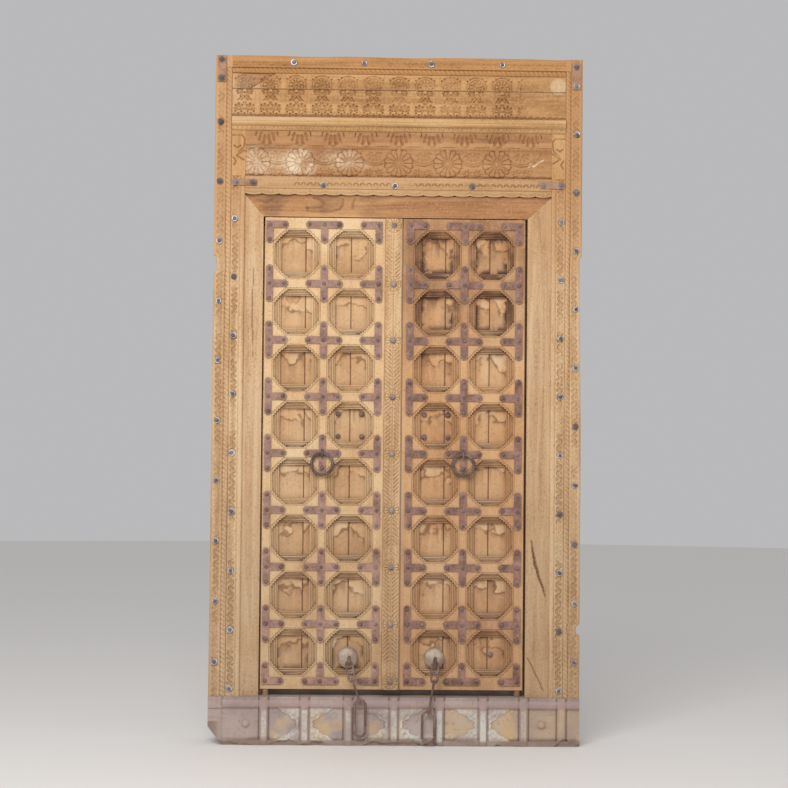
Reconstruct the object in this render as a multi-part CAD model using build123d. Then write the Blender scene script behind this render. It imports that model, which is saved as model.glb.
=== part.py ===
from build123d import *
import math
import os

os.makedirs("parts", exist_ok=True)

# Frame across: boards from the outside in, then the jambs, which differ from side to side.
frame_width = 1180
outer_strip_width = 54
rope_width = 18
inner_strip_width = 44
left_jamb_width = 59
right_jamb_width = 73.5
post_overhang = 15
rebate_width = 16
rebate_gap = 5

# Frame front to back.
sill_depth = 160
architrave_setback = 12
strip_thickness = 22
inner_strip_thickness = 20
splay_outer_depth = 12
splay_inner_depth = 30
leaf_setback = 32
post_depth = 106
header_board_thickness = 60

# Frame upwards, from the threshold to the top rail.
sill_height = 152
leaf_bottom_gap = 21
head_gap = 3
stop_overlap = 15
head_face_height = 67
lower_rail_height = 59
rosette_panel_height = 99
leaf_band_height = 48
shelf_height = 43
frieze_bottom_board_height = 91
frieze_top_board_height = 50
top_rail_height = 57
top_rope_height = 16

# Threshold carving.
sill_fillet_height = 17
sill_fillet_setback = 3
sill_panel_setback = 9
sill_roll_height = 36
sill_roll_ease = 6
sill_bar_width = 26
sill_bar_crown = 14
sill_bar_shares = [0, 0.2458, 0.4805, 0.6995]
sill_end_bar_share = 0.9034
sill_boss_share = 0.7966
sill_boss_radius = 11
sill_boss_height = 4
sill_cusp_height = 5
sill_cusp_shares = [(0.22, 1), (0.30, 0.84), (0.50, 0.80), (0.56, 0.60), (0.76, 0.52), (0.82, 0.28), (0.94, 0)]
sill_wear_width = 45
sill_wear_height = 58

# Rope twist on the outer boards and the top rail.
rope_pitch = 14.4
rope_bed = 6
rope_relief = 4.4
rope_root = 0.8
rope_lean = 12

# Header carving.
frieze_thickness = 14
frieze_relief = 5
frieze_tile_count = 13
arch_reach = 20
arch_profile_shares = [(-0.95, -1), (-0.95, 0.1), (-0.5, 0.75), (0, 1), (0.5, 0.75), (0.95, 0.1), (0.95, -1)]
fan_reach = 34
fan_profile_shares = [(0, -1), (0.45, -0.3), (1, -0.1), (0.75, 0.45), (0.4, 0.4), (0.2, 1), (-0.2, 1),
                      (-0.4, 0.4), (-0.75, 0.45), (-1, -0.1), (-0.45, -0.3)]
chip_width = 118
chip_run = 49
chip_height = 38
chip_depth = 6
shelf_projection = 32
shelf_lip_height = 15
shelf_cove = 18
rosette_count = 5
rosette_pitch_share = 0.1606
rosette_radius = 41
rosette_petals = 8
rosette_hollow_share = 0.62
leaf_tip_count = 28
leaf_tip_drop = 20
leaf_band_relief = 9
scallop_count = 19
scallop_depth = 6
block_relief = 6
block_margin = 7
block_step = 44

# Wear on the outer edges: share of the frame's height, length and depth of each bite.
left_wane_share = 0.693
left_wane_length = 62
left_wane_depth = 9
right_step_share = 0.709
right_step_length = 90
right_step_depth = 6
right_knot_share = 0.168
right_knot_length = 30
right_knot_depth = 16

# Iron patches on the frame corners.
patch_thickness = 3
top_patch_width = 28
top_patch_height = 84
top_patch_inset = 6
right_patch_drop = 12
rail_patch_length = 80
rail_patch_height = 20
rail_patch_rise = 28
patch_nail_inset = 12

# Frame nails.
frame_nail_radius = 11
frame_nail_height = 9
frame_nail_sides = 6
outer_nail_inset = 18
inner_nail_inset = 12
left_outer_nail_rise = 110
left_outer_nail_drop = 215
right_outer_nail_rise = 114
right_outer_nail_drop = 242
outer_nail_count = 10
inner_nail_rise = 24
inner_nail_drop = 137.5
inner_nail_count = 9
top_nail_shares = [-0.634, -0.213, 0.19, 0.616]
top_nail_drop = 21
rail_nail_shares = [-0.492, -0.024, 0.48]
rail_nail_rise = 32

# Leaves: columns and rows of the lattice.
meeting_share = 0.529
left_leaf_gap = 6
right_leaf_gap = 8
left_outer_margin = 15
right_outer_margin = 19
left_meeting_margin = 20
right_meeting_margin = 23
meeting_gap = 2.6
astragal_width = 55.9
row_pitch = 181.7
row_count = 8
top_row_extra = 8.3
bottom_margin = 26
top_margin = 22
lattice_depth = 24
layer_count = 3
stile_flat_half = 10.25
stile_half_share = 0.2123
rail_flat_half = 13.5
rail_half_share = 0.2083
corner_reach_share = 0.98
plank_thickness = 22
plank_gap = 1.5
left_plank_shares = [0.2965, 0.629]
right_plank_shares = [0.3525, 0.7163]
ledge_count = 4
ledge_thickness = 28
ledge_height = 80
ledge_inset = 24
ledge_end_rise = 150
astragal_proud = 10
astragal_ease = 7

# Pivots turned on the outer stiles.
pivot_inset = 16
pivot_radius = 10
pivot_fit = 0.8
pivot_seat = 18
pivot_end_gap = 1

# Straps and their nails.
strap_width = 23
strap_thickness = 4
strap_arm = 60
strap_tip = 7
strap_nail_reach = 48
strap_nail_radius = 7.5
strap_nail_height = 5
strap_nail_sides = 4
window_nail_share_x = 0.7525
window_nail_share_z = 0.679
lone_nail_offset_x = 4
lone_nail_drop = 5
astragal_nail_radius = 9

# Ring pulls.
ring_radius = 34
ring_wire = 5
ring_fit = 1
ring_drop = 0.5
ring_staple_wire = 4
ring_staple_stand = 9

# Chains: bosses, staples, twisted links, rods and long loops, all in one plane.
boss_radius = 33
boss_land = 14
boss_seat = 3
chain_stand_off = 15
chain_fit = 0.6
staple_wire = 5
staple_eye_radius = 12
link_wire = 4
link_foot_wire = 3.6
link_eye_radius = 10
link_cross = 4
rod_wire = 3.2
rod_eye_radius = 9.8
loop_wire = 4.2
left_top_offset = (3, -6)
left_mid_offset = (16.6, -68)
left_low_offset = (40.7, -126)
left_loop_floor_gap = 28
left_loop_radius = 17
right_top_offset = (1, -7)
right_mid_offset = (-2, -70)
right_low_offset = (-19.7, -160)
right_loop_floor_gap = 10
right_loop_radius = 19.5

overrun = 5

# Places that follow from the values above. The front faces -Y, the floor is z = 0.
half_width = frame_width / 2
rope_x = half_width - outer_strip_width + rope_width
outer_in_x = half_width - outer_strip_width
inner_in_x = outer_in_x - inner_strip_width
post_out_x = half_width - post_overhang
left_opening_x = left_jamb_width - inner_in_x
right_opening_x = inner_in_x - right_jamb_width
sill_front_y = -sill_depth / 2
architrave_y = sill_front_y + architrave_setback
post_front_y = architrave_y + strip_thickness
inner_strip_y = post_front_y - inner_strip_thickness
leaf_y = architrave_y + leaf_setback
plank_y = leaf_y + lattice_depth
plank_back_y = plank_y + plank_thickness
stop_y = plank_back_y + rebate_gap
post_back_y = post_front_y + post_depth
frieze_y = post_front_y - frieze_thickness
leaf_bottom_z = sill_height + leaf_bottom_gap
first_row_z = leaf_bottom_z + bottom_margin
last_row_z = first_row_z + row_count * row_pitch + top_row_extra
leaf_top_z = last_row_z + top_margin
row_zs = [first_row_z + row * row_pitch for row in range(row_count)] + [last_row_z]
head_z = leaf_top_z + head_gap
stop_z = leaf_top_z - stop_overlap
rail_z = head_z + head_face_height
rosette_z = rail_z + lower_rail_height
leaf_band_z = rosette_z + rosette_panel_height
shelf_z = leaf_band_z + leaf_band_height
frieze_z = shelf_z + shelf_height
frieze_split_z = frieze_z + frieze_bottom_board_height
top_rail_z = frieze_split_z + frieze_top_board_height
frame_top_z = top_rail_z + top_rail_height
left_wane_z = left_wane_share * frame_top_z
right_step_z = right_step_share * frame_top_z
right_knot_z = right_knot_share * frame_top_z
left_leaf_x = left_opening_x + left_leaf_gap
right_leaf_x = right_opening_x - right_leaf_gap
right_meeting_x = left_opening_x + meeting_share * (right_opening_x - left_opening_x)
astragal_x = right_meeting_x - meeting_gap
left_meeting_x = astragal_x - astragal_width
left_columns = [left_leaf_x + left_outer_margin, left_meeting_x - left_meeting_margin]
left_columns.insert(1, sum(left_columns) / 2)
right_columns = [right_meeting_x + right_meeting_margin, right_leaf_x - right_outer_margin]
right_columns.insert(1, sum(right_columns) / 2)
stile_half = stile_half_share * (left_columns[1] - left_columns[0])
rail_half = rail_half_share * row_pitch
corner_reach = corner_reach_share * (stile_half + rail_half)
ring_row_index = row_count // 2
pivot_y = leaf_y + lattice_depth / 2
chain_y = sill_front_y - chain_stand_off
boss_z = first_row_z + rail_half + boss_seat + boss_radius


def save(name, *solids):
    """Writes one node, a single solid or a group of separate solids."""
    bodies = [solid for shape in solids for solid in shape.solids()]
    export_step(bodies[0] if len(bodies) == 1 else Compound(bodies), f"parts/{name}.step")


def prism(points, direction):
    """Carries a flat polygon along a vector, square to it or leaning."""
    outline = Face(Wire.make_polygon([Vector(*point) for point in points], close=True))
    solid = Solid.extrude(outline, Vector(*direction))
    return solid if solid.volume > 0 else Solid.extrude(-outline, Vector(*direction))


def plate(points, front, back):
    """An outline seen from the front, carried from one depth to another."""
    return prism([(x, front, z) for x, z in points], (0, back - front, 0))


def block(x0, x1, front, back, z0, z1):
    return plate([(x0, z0), (x1, z0), (x1, z1), (x0, z1)], front, back)


def bar(points, x0, x1):
    """A section of depth and height carried from left to right."""
    return prism([(x0, y, z) for y, z in points], (x1 - x0, 0, 0))


def column(points, z0, z1):
    """A plan carried upwards."""
    return prism([(x, y, z0) for x, y in points], (0, 0, z1 - z0))


def joined(first, *others):
    whole = first
    for other in others:
        whole = whole + other
    return whole


def pyramid(x, y, z, radius, height, sides):
    """A forged nail head: a flat base on the face at y, drawn to a point in front of it."""
    turns = [2 * math.pi * (side + 1 / 2) / sides for side in range(sides)]
    base = [Vector(x + radius * math.cos(turn), y, z + radius * math.sin(turn)) for turn in turns]
    tip = Vector(x, y - height, z)
    faces = [Face(Wire.make_polygon(base, close=True))]
    for side in range(sides):
        faces.append(Face(Wire.make_polygon([base[side], base[side - 1], tip], close=True)))
    return Solid(Shell(faces))


def upright_rope(x, lean):
    """Saw-toothed strip carried across on a slant, which leaves the lands of a twisted rope."""
    count = math.ceil((top_rail_z - sill_height + 2 * rope_lean) / rope_pitch)
    bed_y = architrave_y + rope_bed
    start = sill_height - rope_lean
    teeth = [(x, bed_y, start), (x, bed_y - rope_root, start)]
    for tooth in range(count):
        foot = start + tooth * rope_pitch
        teeth.append((x, bed_y - rope_root - rope_relief, foot + rope_pitch / 2))
        teeth.append((x, bed_y - rope_root, foot + rope_pitch))
    teeth.append((x, bed_y, start + count * rope_pitch))
    strand = prism(teeth, (rope_width, 0, lean))
    return strand & block(x, x + rope_width, architrave_y - overrun, bed_y, sill_height, top_rail_z)


def outer_architrave(side):
    """A board over the full height: flat outside, rope inside, a plain square at the top corner."""
    bed_y = architrave_y + rope_bed
    flat = block(rope_x, half_width, architrave_y, post_front_y, sill_height, frame_top_z)
    bed = block(outer_in_x, rope_x, bed_y, post_front_y, sill_height, frame_top_z)
    corner = block(outer_in_x, rope_x, architrave_y, bed_y, top_rail_z, frame_top_z)
    board = joined(flat, bed, corner, upright_rope(outer_in_x, -side * rope_lean))
    if side > 0:
        step = [(half_width + overrun, right_step_z + right_step_length / 2),
                (half_width, right_step_z + right_step_length / 2),
                (half_width - right_step_depth, right_step_z + right_step_length / 2),
                (half_width, right_step_z - right_step_length / 2),
                (half_width + overrun, right_step_z - right_step_length / 2)]
        knot = [(half_width + overrun, right_knot_z + right_knot_length / 2),
                (half_width - right_knot_depth, right_knot_z + right_knot_length / 4),
                (half_width - right_knot_depth, right_knot_z - right_knot_length / 4),
                (half_width + overrun, right_knot_z - right_knot_length / 2)]
        for bite in (step, knot):
            board = board - plate(bite, architrave_y - overrun, post_front_y + overrun)
        return board
    wane = [(half_width + overrun, left_wane_z + left_wane_length / 2),
            (half_width - left_wane_depth, left_wane_z + left_wane_length / 6),
            (half_width - left_wane_depth, left_wane_z - left_wane_length / 6),
            (half_width + overrun, left_wane_z - left_wane_length / 2)]
    board = board - plate(wane, architrave_y - overrun, post_front_y + overrun)
    return mirror(board, about=Plane.YZ)


def top_rail():
    bed_y = architrave_y + rope_bed
    span = 2 * outer_in_x
    count = math.ceil((span + 2 * rope_lean) / rope_pitch)
    start = -outer_in_x - rope_lean
    teeth = [(start, bed_y, top_rail_z), (start, bed_y - rope_root, top_rail_z)]
    for tooth in range(count):
        foot = start + tooth * rope_pitch
        teeth.append((foot + rope_pitch / 2, bed_y - rope_root - rope_relief, top_rail_z))
        teeth.append((foot + rope_pitch, bed_y - rope_root, top_rail_z))
    teeth.append((start + count * rope_pitch, bed_y, top_rail_z))
    strand = prism(teeth, (rope_lean, 0, top_rope_height))
    rope_top = top_rail_z + top_rope_height
    strand = strand & block(-outer_in_x, outer_in_x, architrave_y - overrun, bed_y, top_rail_z, rope_top)
    flat = block(-outer_in_x, outer_in_x, architrave_y, post_front_y, rope_top, frame_top_z)
    bed = block(-outer_in_x, outer_in_x, bed_y, post_front_y, top_rail_z, rope_top)
    return joined(flat, bed, strand)


def mitre(side):
    """Foot and top of the slanting joint between jamb and head, continued below the head stop."""
    opening = left_opening_x if side < 0 else right_opening_x
    outer = side * inner_in_x
    run = (opening - outer) / head_face_height
    foot_z = stop_z - overrun
    return opening + run * (head_z - foot_z), foot_z, outer


def post(side):
    """Square column behind the boards, with the splayed jamb and its rebate towards the leaf."""
    opening = left_opening_x if side < 0 else right_opening_x
    inner, outer = side * inner_in_x, side * post_out_x
    stop_x = opening - side * rebate_width
    back_column = block(min(inner, outer), max(inner, outer), post_front_y, post_back_y, sill_height, frame_top_z)
    plan = [(inner, architrave_y + splay_outer_depth), (opening, architrave_y + splay_inner_depth),
            (opening, stop_y), (stop_x, stop_y), (stop_x, post_back_y), (inner, post_back_y)]
    jamb = column(plan, sill_height, rail_z)
    foot_x, foot_z, corner_x = mitre(side)
    clear_x = stop_x - side * 2 * rebate_width
    above = [(corner_x, rail_z), (foot_x, foot_z), (clear_x, foot_z), (clear_x, rail_z + overrun),
             (corner_x, rail_z + overrun)]
    jamb = jamb - plate(above, architrave_y, post_back_y + overrun)
    return back_column + jamb


def pivots(side):
    return (left_leaf_x + pivot_inset if side < 0 else right_leaf_x - pivot_inset), pivot_y


def socket(side, z0, z1):
    x, y = pivots(side)
    return Pos(x, y, z0) * Cylinder(pivot_radius + pivot_fit, z1 - z0, align=(Align.CENTER, Align.CENTER, Align.MIN))


def head_beam():
    section = [(architrave_y + splay_outer_depth, rail_z), (architrave_y + splay_inner_depth, head_z),
               (stop_y, head_z), (stop_y, stop_z), (post_back_y, stop_z), (post_back_y, rosette_z),
               (post_front_y, rosette_z), (post_front_y, rail_z)]
    beam = bar(section, -inner_in_x, inner_in_x)
    for side in (-1, 1):
        foot_x, foot_z, corner_x = mitre(side)
        end_x = side * (inner_in_x + overrun)
        below = [(corner_x, rail_z), (foot_x, foot_z), (end_x, foot_z), (end_x, rail_z)]
        beam = beam - plate(below, architrave_y, post_back_y + overrun)
        beam = beam - socket(side, head_z - overrun, head_z + pivot_seat)
    return beam


def threshold():
    panel_y = sill_front_y + sill_panel_setback
    fillet_y = sill_front_y + sill_fillet_setback
    roll_z = sill_height - sill_roll_height
    section = [(-sill_front_y, 0), (fillet_y, 0), (fillet_y, sill_fillet_height), (panel_y, sill_fillet_height),
               (panel_y, roll_z), (sill_front_y + sill_roll_ease / 4, roll_z + sill_roll_ease),
               (sill_front_y, sill_height - sill_roll_height / 2),
               (sill_front_y + sill_roll_ease / 4, sill_height - sill_roll_ease),
               (sill_front_y + sill_roll_ease, sill_height), (-sill_front_y, sill_height)]
    beam = bar(section, -half_width, half_width)
    stop = block(left_opening_x + rebate_width, right_opening_x - rebate_width, stop_y, post_back_y, sill_height,
                 leaf_bottom_z + stop_overlap)
    beam = beam + stop
    offsets = sorted({side * share * half_width for share in sill_bar_shares for side in (-1, 1)})
    for x in offsets + [sill_end_bar_share * half_width]:
        half, crown = sill_bar_width / 2, sill_bar_crown / 2
        plan = [(x - half, panel_y + overrun), (x - half, panel_y), (x - crown, sill_front_y),
                (x + crown, sill_front_y), (x + half, panel_y), (x + half, panel_y + overrun)]
        beam = beam + column(plan, 0, sill_height)
    middle_z = (sill_fillet_height + roll_z) / 2
    half_height = (roll_z - sill_fillet_height) / 2
    for index, (left, right) in enumerate(zip(offsets, offsets[1:])):
        near, far = left + sill_bar_width / 2, right - sill_bar_width / 2
        near, far = (near, far) if index % 2 == 0 else (far, near)
        upper = [(near + (far - near) * run, middle_z + half_height * rise) for run, rise in sill_cusp_shares]
        lower = [(x, 2 * middle_z - z) for x, z in upper[-2::-1]]
        ends = [(far, middle_z - half_height), (far, middle_z + half_height)]
        beam = beam + plate(upper + lower + ends, panel_y - sill_cusp_height, panel_y)
    for side in (-1, 1):
        knob = Pos(side * sill_boss_share * half_width, panel_y, middle_z) * Rot(X=90) * Cylinder(
            sill_boss_radius, sill_boss_height, align=(Align.CENTER, Align.CENTER, Align.MIN))
        beam = beam + knob - socket(side, sill_height - pivot_seat, sill_height + overrun)
    wear = [(-half_width - overrun, -overrun), (sill_wear_width - half_width, -overrun),
            (sill_wear_width - half_width, 0), (-half_width, sill_wear_height),
            (-half_width - overrun, sill_wear_height)]
    return beam - plate(wear, sill_front_y - overrun, -sill_front_y + overrun)


def relief(centre_x, centre_z, reach_x, reach_z, shares):
    """One carved motif, its outline given as shares of its reach, raised from a frieze board."""
    outline = [(centre_x + reach_x * a, centre_z + reach_z * b) for a, b in shares]
    return plate(outline, frieze_y - frieze_relief, frieze_y)


def upper_frieze():
    tile = 2 * outer_in_x / frieze_tile_count
    centres = [-outer_in_x + tile * (index + 1 / 2) for index in range(frieze_tile_count)]
    upper = block(-outer_in_x, outer_in_x, frieze_y, post_front_y, frieze_split_z, top_rail_z)
    lower = block(-outer_in_x, outer_in_x, frieze_y, post_front_y, frieze_z, frieze_split_z)
    for x in centres:
        upper = upper + relief(x, (frieze_split_z + top_rail_z) / 2, arch_reach, arch_reach, arch_profile_shares)
        lower = lower + relief(x, (frieze_z + frieze_split_z) / 2, fan_reach, fan_reach, fan_profile_shares)
    chip = [(-outer_in_x - overrun, top_rail_z + overrun), (chip_width - outer_in_x, top_rail_z + overrun),
            (chip_width - outer_in_x, top_rail_z), (chip_width - chip_run - outer_in_x, top_rail_z - chip_height),
            (-outer_in_x - overrun, top_rail_z - chip_height)]
    return upper - plate(chip, frieze_y - 2 * frieze_relief, frieze_y + chip_depth), lower


def lower_frieze():
    """Rosette panel with a band of hanging leaves above it, cut from one board."""
    panel = block(-inner_in_x, inner_in_x, frieze_y, post_front_y, rosette_z, shelf_z)
    middle_z = (rosette_z + leaf_band_z) / 2
    for index in range(rosette_count):
        x = (index - (rosette_count - 1) / 2) * rosette_pitch_share * 2 * inner_in_x
        shares = []
        for point in range(2 * rosette_petals):
            reach = 1 if point % 2 == 0 else rosette_hollow_share
            turn = math.pi * point / rosette_petals
            shares.append((reach * math.sin(turn), reach * math.cos(turn)))
        panel = panel + relief(x, middle_z, rosette_radius, rosette_radius, shares)
    tip = 2 * inner_in_x / leaf_tip_count
    edge = [(-inner_in_x, shelf_z), (-inner_in_x, shelf_z - leaf_tip_drop)]
    for index in range(leaf_tip_count):
        left = -inner_in_x + tip * index
        edge += [(left + tip / 2, leaf_band_z), (left + tip, shelf_z - leaf_tip_drop)]
    edge.append((inner_in_x, shelf_z))
    return panel + plate(edge, frieze_y - leaf_band_relief, frieze_y)


def frieze_block(side):
    near, far = side * inner_in_x, side * outer_in_x
    body = block(min(near, far), max(near, far), frieze_y, post_front_y, rosette_z, shelf_z)
    left, right = min(near, far) + block_margin, max(near, far) - block_margin
    low, high = rosette_z + block_margin, shelf_z - block_margin
    ear = [(left, low), (right, low), (right, high - block_step), ((left + right) / 2, high), (left, high - block_step)]
    return body + plate(ear, frieze_y - block_relief, frieze_y)


def shelf():
    front = post_front_y - shelf_projection
    section = [(post_front_y, shelf_z), (front + shelf_cove, shelf_z), (front + shelf_cove / 3, shelf_z + shelf_lip_height),
               (front, frieze_z - shelf_lip_height), (front, frieze_z), (post_front_y, frieze_z)]
    return bar(section, -outer_in_x, outer_in_x)


def lower_rail():
    lobe = 2 * inner_in_x / scallop_count
    edge = [(-inner_in_x, rosette_z), (-inner_in_x, rail_z + scallop_depth)]
    for index in range(scallop_count):
        left = -inner_in_x + lobe * index
        edge += [(left + lobe / 4, rail_z), (left + lobe * 3 / 4, rail_z), (left + lobe, rail_z + scallop_depth)]
    edge.append((inner_in_x, rosette_z))
    return plate(edge, inner_strip_y, post_front_y)


def patches():
    plates, nails = [], []
    for side in (-1, 1):
        outer = side * (half_width - top_patch_inset)
        inner = outer - side * top_patch_width
        top = frame_top_z - (right_patch_drop if side > 0 else 0) - top_patch_inset / 3
        plates.append(block(min(outer, inner), max(outer, inner), architrave_y - patch_thickness, architrave_y,
                            top - top_patch_height, top))
        for z in (top - patch_nail_inset, top - top_patch_height + patch_nail_inset):
            nails.append(((outer + inner) / 2, architrave_y - patch_thickness, z))
        far = side * (outer_in_x - patch_thickness)
        near = far - side * rail_patch_length
        low = rail_z + rail_patch_rise
        plates.append(block(min(near, far), max(near, far), inner_strip_y - patch_thickness, inner_strip_y,
                            low, low + rail_patch_height))
        for x in (far - side * patch_nail_inset, near + side * patch_nail_inset):
            nails.append((x, inner_strip_y - patch_thickness, low + rail_patch_height / 2))
    return plates, nails


def spaced(low, high, count):
    """Heights of a row of nails, evenly spread from the first to the last."""
    return [low + (high - low) * index / (count - 1) for index in range(count)]


def frame_nail_places():
    outer_x = half_width - outer_nail_inset
    inner_x = outer_in_x - inner_nail_inset
    left_zs = spaced(sill_height + left_outer_nail_rise, frame_top_z - left_outer_nail_drop, outer_nail_count)
    right_zs = spaced(sill_height + right_outer_nail_rise, frame_top_z - right_outer_nail_drop, outer_nail_count)
    inner_zs = spaced(sill_height + inner_nail_rise, rosette_z - inner_nail_drop, inner_nail_count)
    places = [(-outer_x, architrave_y, z) for z in left_zs] + [(outer_x, architrave_y, z) for z in right_zs]
    places += [(side * inner_x, inner_strip_y, z) for z in inner_zs for side in (-1, 1)]
    places += [(share * outer_in_x, architrave_y, frame_top_z - top_nail_drop) for share in top_nail_shares]
    return places + [(share * inner_in_x, inner_strip_y, rail_z + rail_nail_rise) for share in rail_nail_shares]


def layered(outline_at):
    """Stacks the layers of a carved member, each wider than the one in front of it."""
    step = lattice_depth / layer_count
    layers = [plate(outline_at(level / (layer_count - 1)), leaf_y + level * step, leaf_y + (level + 1) * step)
              for level in range(layer_count)]
    return joined(*layers)


def stile_edge(x, sign, share):
    """One notched edge from bottom to top: full width at each joint, sloping to the narrow flat between."""
    narrow = stile_flat_half + (stile_half - stile_flat_half) * share
    wide_reach, narrow_reach = corner_reach - stile_half, corner_reach - narrow
    if narrow_reach <= wide_reach:
        return [(x + sign * stile_half, leaf_bottom_z), (x + sign * stile_half, leaf_top_z)]
    edge = [(x + sign * stile_half, leaf_bottom_z)]
    for z in row_zs:
        if z > first_row_z:
            edge += [(x + sign * narrow, z - narrow_reach), (x + sign * stile_half, z - wide_reach)]
        if z < last_row_z:
            edge += [(x + sign * stile_half, z + wide_reach), (x + sign * narrow, z + narrow_reach)]
    return edge + [(x + sign * stile_half, leaf_top_z)]


def stile(x, low_x=None, high_x=None):
    """A stile round the line x; a plain edge takes the place of the carved one where it is given."""
    def outline(share):
        low = stile_edge(x, -1, share) if low_x is None else [(low_x, leaf_bottom_z), (low_x, leaf_top_z)]
        high = stile_edge(x, 1, share) if high_x is None else [(high_x, leaf_bottom_z), (high_x, leaf_top_z)]
        return high + low[::-1]
    return layered(outline)


def rail(x0, x1, row):
    """A short rail between two stiles, its edges sloping up to the corner flats."""
    z = row_zs[row]
    reach = corner_reach - stile_half

    def outline(share):
        half = rail_flat_half + (rail_half - rail_flat_half) * share
        run = max(reach - half, 0)
        end = max(reach, half)
        slopes = [(x1, end), (x1 - run, half), (x0 + run, half), (x0, end)] if run else [(x1, half), (x0, half)]
        upper = [(x, z + rise) for x, rise in slopes]
        lower = [(x, z - rise) for x, rise in slopes[::-1]]
        if row == 0:
            lower = [(x0, leaf_bottom_z), (x1, leaf_bottom_z)]
        if row == row_count:
            upper = [(x1, leaf_top_z), (x0, leaf_top_z)]
        return upper + lower
    return layered(outline)


def outer_stile(side, x):
    pivot_x, y = pivots(side)
    body = stile(x, low_x=left_leaf_x) if side < 0 else stile(x, high_x=right_leaf_x)
    low = sill_height - pivot_seat + pivot_end_gap
    high = head_z + pivot_seat - pivot_end_gap
    for z0, z1 in ((low, leaf_bottom_z), (leaf_top_z, high)):
        body = body + Pos(pivot_x, y, z0) * Cylinder(
            pivot_radius, z1 - z0, align=(Align.CENTER, Align.CENTER, Align.MIN))
    return body


def strap(x, z, right, up, left, down):
    """A flat iron strap with up to four arms round one joint of the lattice, tips clipped."""
    half = strap_width / 2
    arms = [right, up, left, down]
    ways = [(1, 0), (0, 1), (-1, 0), (0, -1)]
    outline = []
    for index, (along, across) in enumerate(zip(ways, ways[1:] + ways[:1])):
        if arms[index]:
            for reach, width in ((strap_arm - strap_tip, -half), (strap_arm, strap_tip - half),
                                 (strap_arm, half - strap_tip), (strap_arm - strap_tip, half)):
                outline.append((x + along[0] * reach + across[0] * width, z + along[1] * reach + across[1] * width))
        if arms[index] == arms[(index + 1) % len(arms)]:
            outline.append((x + half * (along[0] + across[0]), z + half * (along[1] + across[1])))
    return plate(outline, leaf_y - strap_thickness, leaf_y)


def straps(columns):
    """Crosses inside the leaf, tees along its edges, angles in its corners, and the nails on each."""
    groups = {"cross": [], "edge": [], "corner": []}
    nails = []
    for row, z in enumerate(row_zs):
        for index, x in enumerate(columns):
            arms = (index < len(columns) - 1, row < row_count, index > 0, row > 0)
            kind = {4: "cross", 3: "edge", 2: "corner"}[sum(arms)]
            groups[kind].append(strap(x, z, *arms))
            places = [(0, 0)] if (row, index) != (ring_row_index, 1) else []
            ways = [(1, 0), (0, 1), (-1, 0), (0, -1)]
            places += [way for way, arm in zip(ways, arms) if arm]
            for a, b in places:
                nails.append((x + a * strap_nail_reach, leaf_y - strap_thickness, z + b * strap_nail_reach))
    heads = [pyramid(*place, strap_nail_radius, strap_nail_height, strap_nail_sides) for place in nails]
    return groups, heads


def planks(shares, x0, x1):
    edges = [x0] + [x0 + share * (x1 - x0) for share in shares] + [x1]
    boards = []
    for index, (left, right) in enumerate(zip(edges, edges[1:])):
        start = left + (plank_gap / 2 if index else 0)
        end = right - (plank_gap / 2 if index < len(shares) else 0)
        boards.append(block(start, end, plank_y, plank_back_y, leaf_bottom_z, leaf_top_z))
    return boards


def ledges(x0, x1):
    low, high = leaf_bottom_z + ledge_end_rise, leaf_top_z - ledge_end_rise - ledge_height
    rises = [low + (high - low) * index / (ledge_count - 1) for index in range(ledge_count)]
    return [block(x0 + ledge_inset, x1 - ledge_inset, plank_back_y, plank_back_y + ledge_thickness, z, z + ledge_height)
            for z in rises]


def wire_loop(centre_x, centre_z, radius, straight, lean_deg, wire):
    """A closed loop of round bar: two half rounds joined by straights, in the plane of the chains."""
    up = [(radius, -straight / 2), (radius, straight / 2), (-radius, straight / 2), (-radius, -straight / 2)]
    with BuildLine(Plane.XZ) as path:
        Line(up[0], up[1])
        RadiusArc(up[1], up[2], -radius)
        Line(up[2], up[3])
        RadiusArc(up[3], up[0], -radius)
    section = Plane((radius, 0, 0), z_dir=(0, 0, 1)) * Circle(wire)
    loop = sweep(section, path=path.wire())
    return Pos(centre_x, chain_y, centre_z) * Rot(Y=lean_deg) * loop


def eye(x, z, radius, wire, lean_deg):
    """A ring of round bar standing square to the chain plane."""
    return Pos(x, chain_y, z) * Rot(Y=lean_deg) * Rot(Y=90) * Torus(radius, wire)


def heading(start, end):
    """Unit vector from one hinge to the next in x and z, its lean from plumb and its length."""
    length = math.dist(start, end)
    way = ((end[0] - start[0]) / length, (end[1] - start[1]) / length)
    return way, math.degrees(math.atan2(-way[0], -way[1])), length


def round_bar(start, end, wire):
    """Straight round bar between two points given as x, y and z."""
    way = Vector(*end) - Vector(*start)
    return Plane(start, z_dir=way) * Cylinder(wire, way.length, align=(Align.CENTER, Align.CENTER, Align.MIN))


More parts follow.
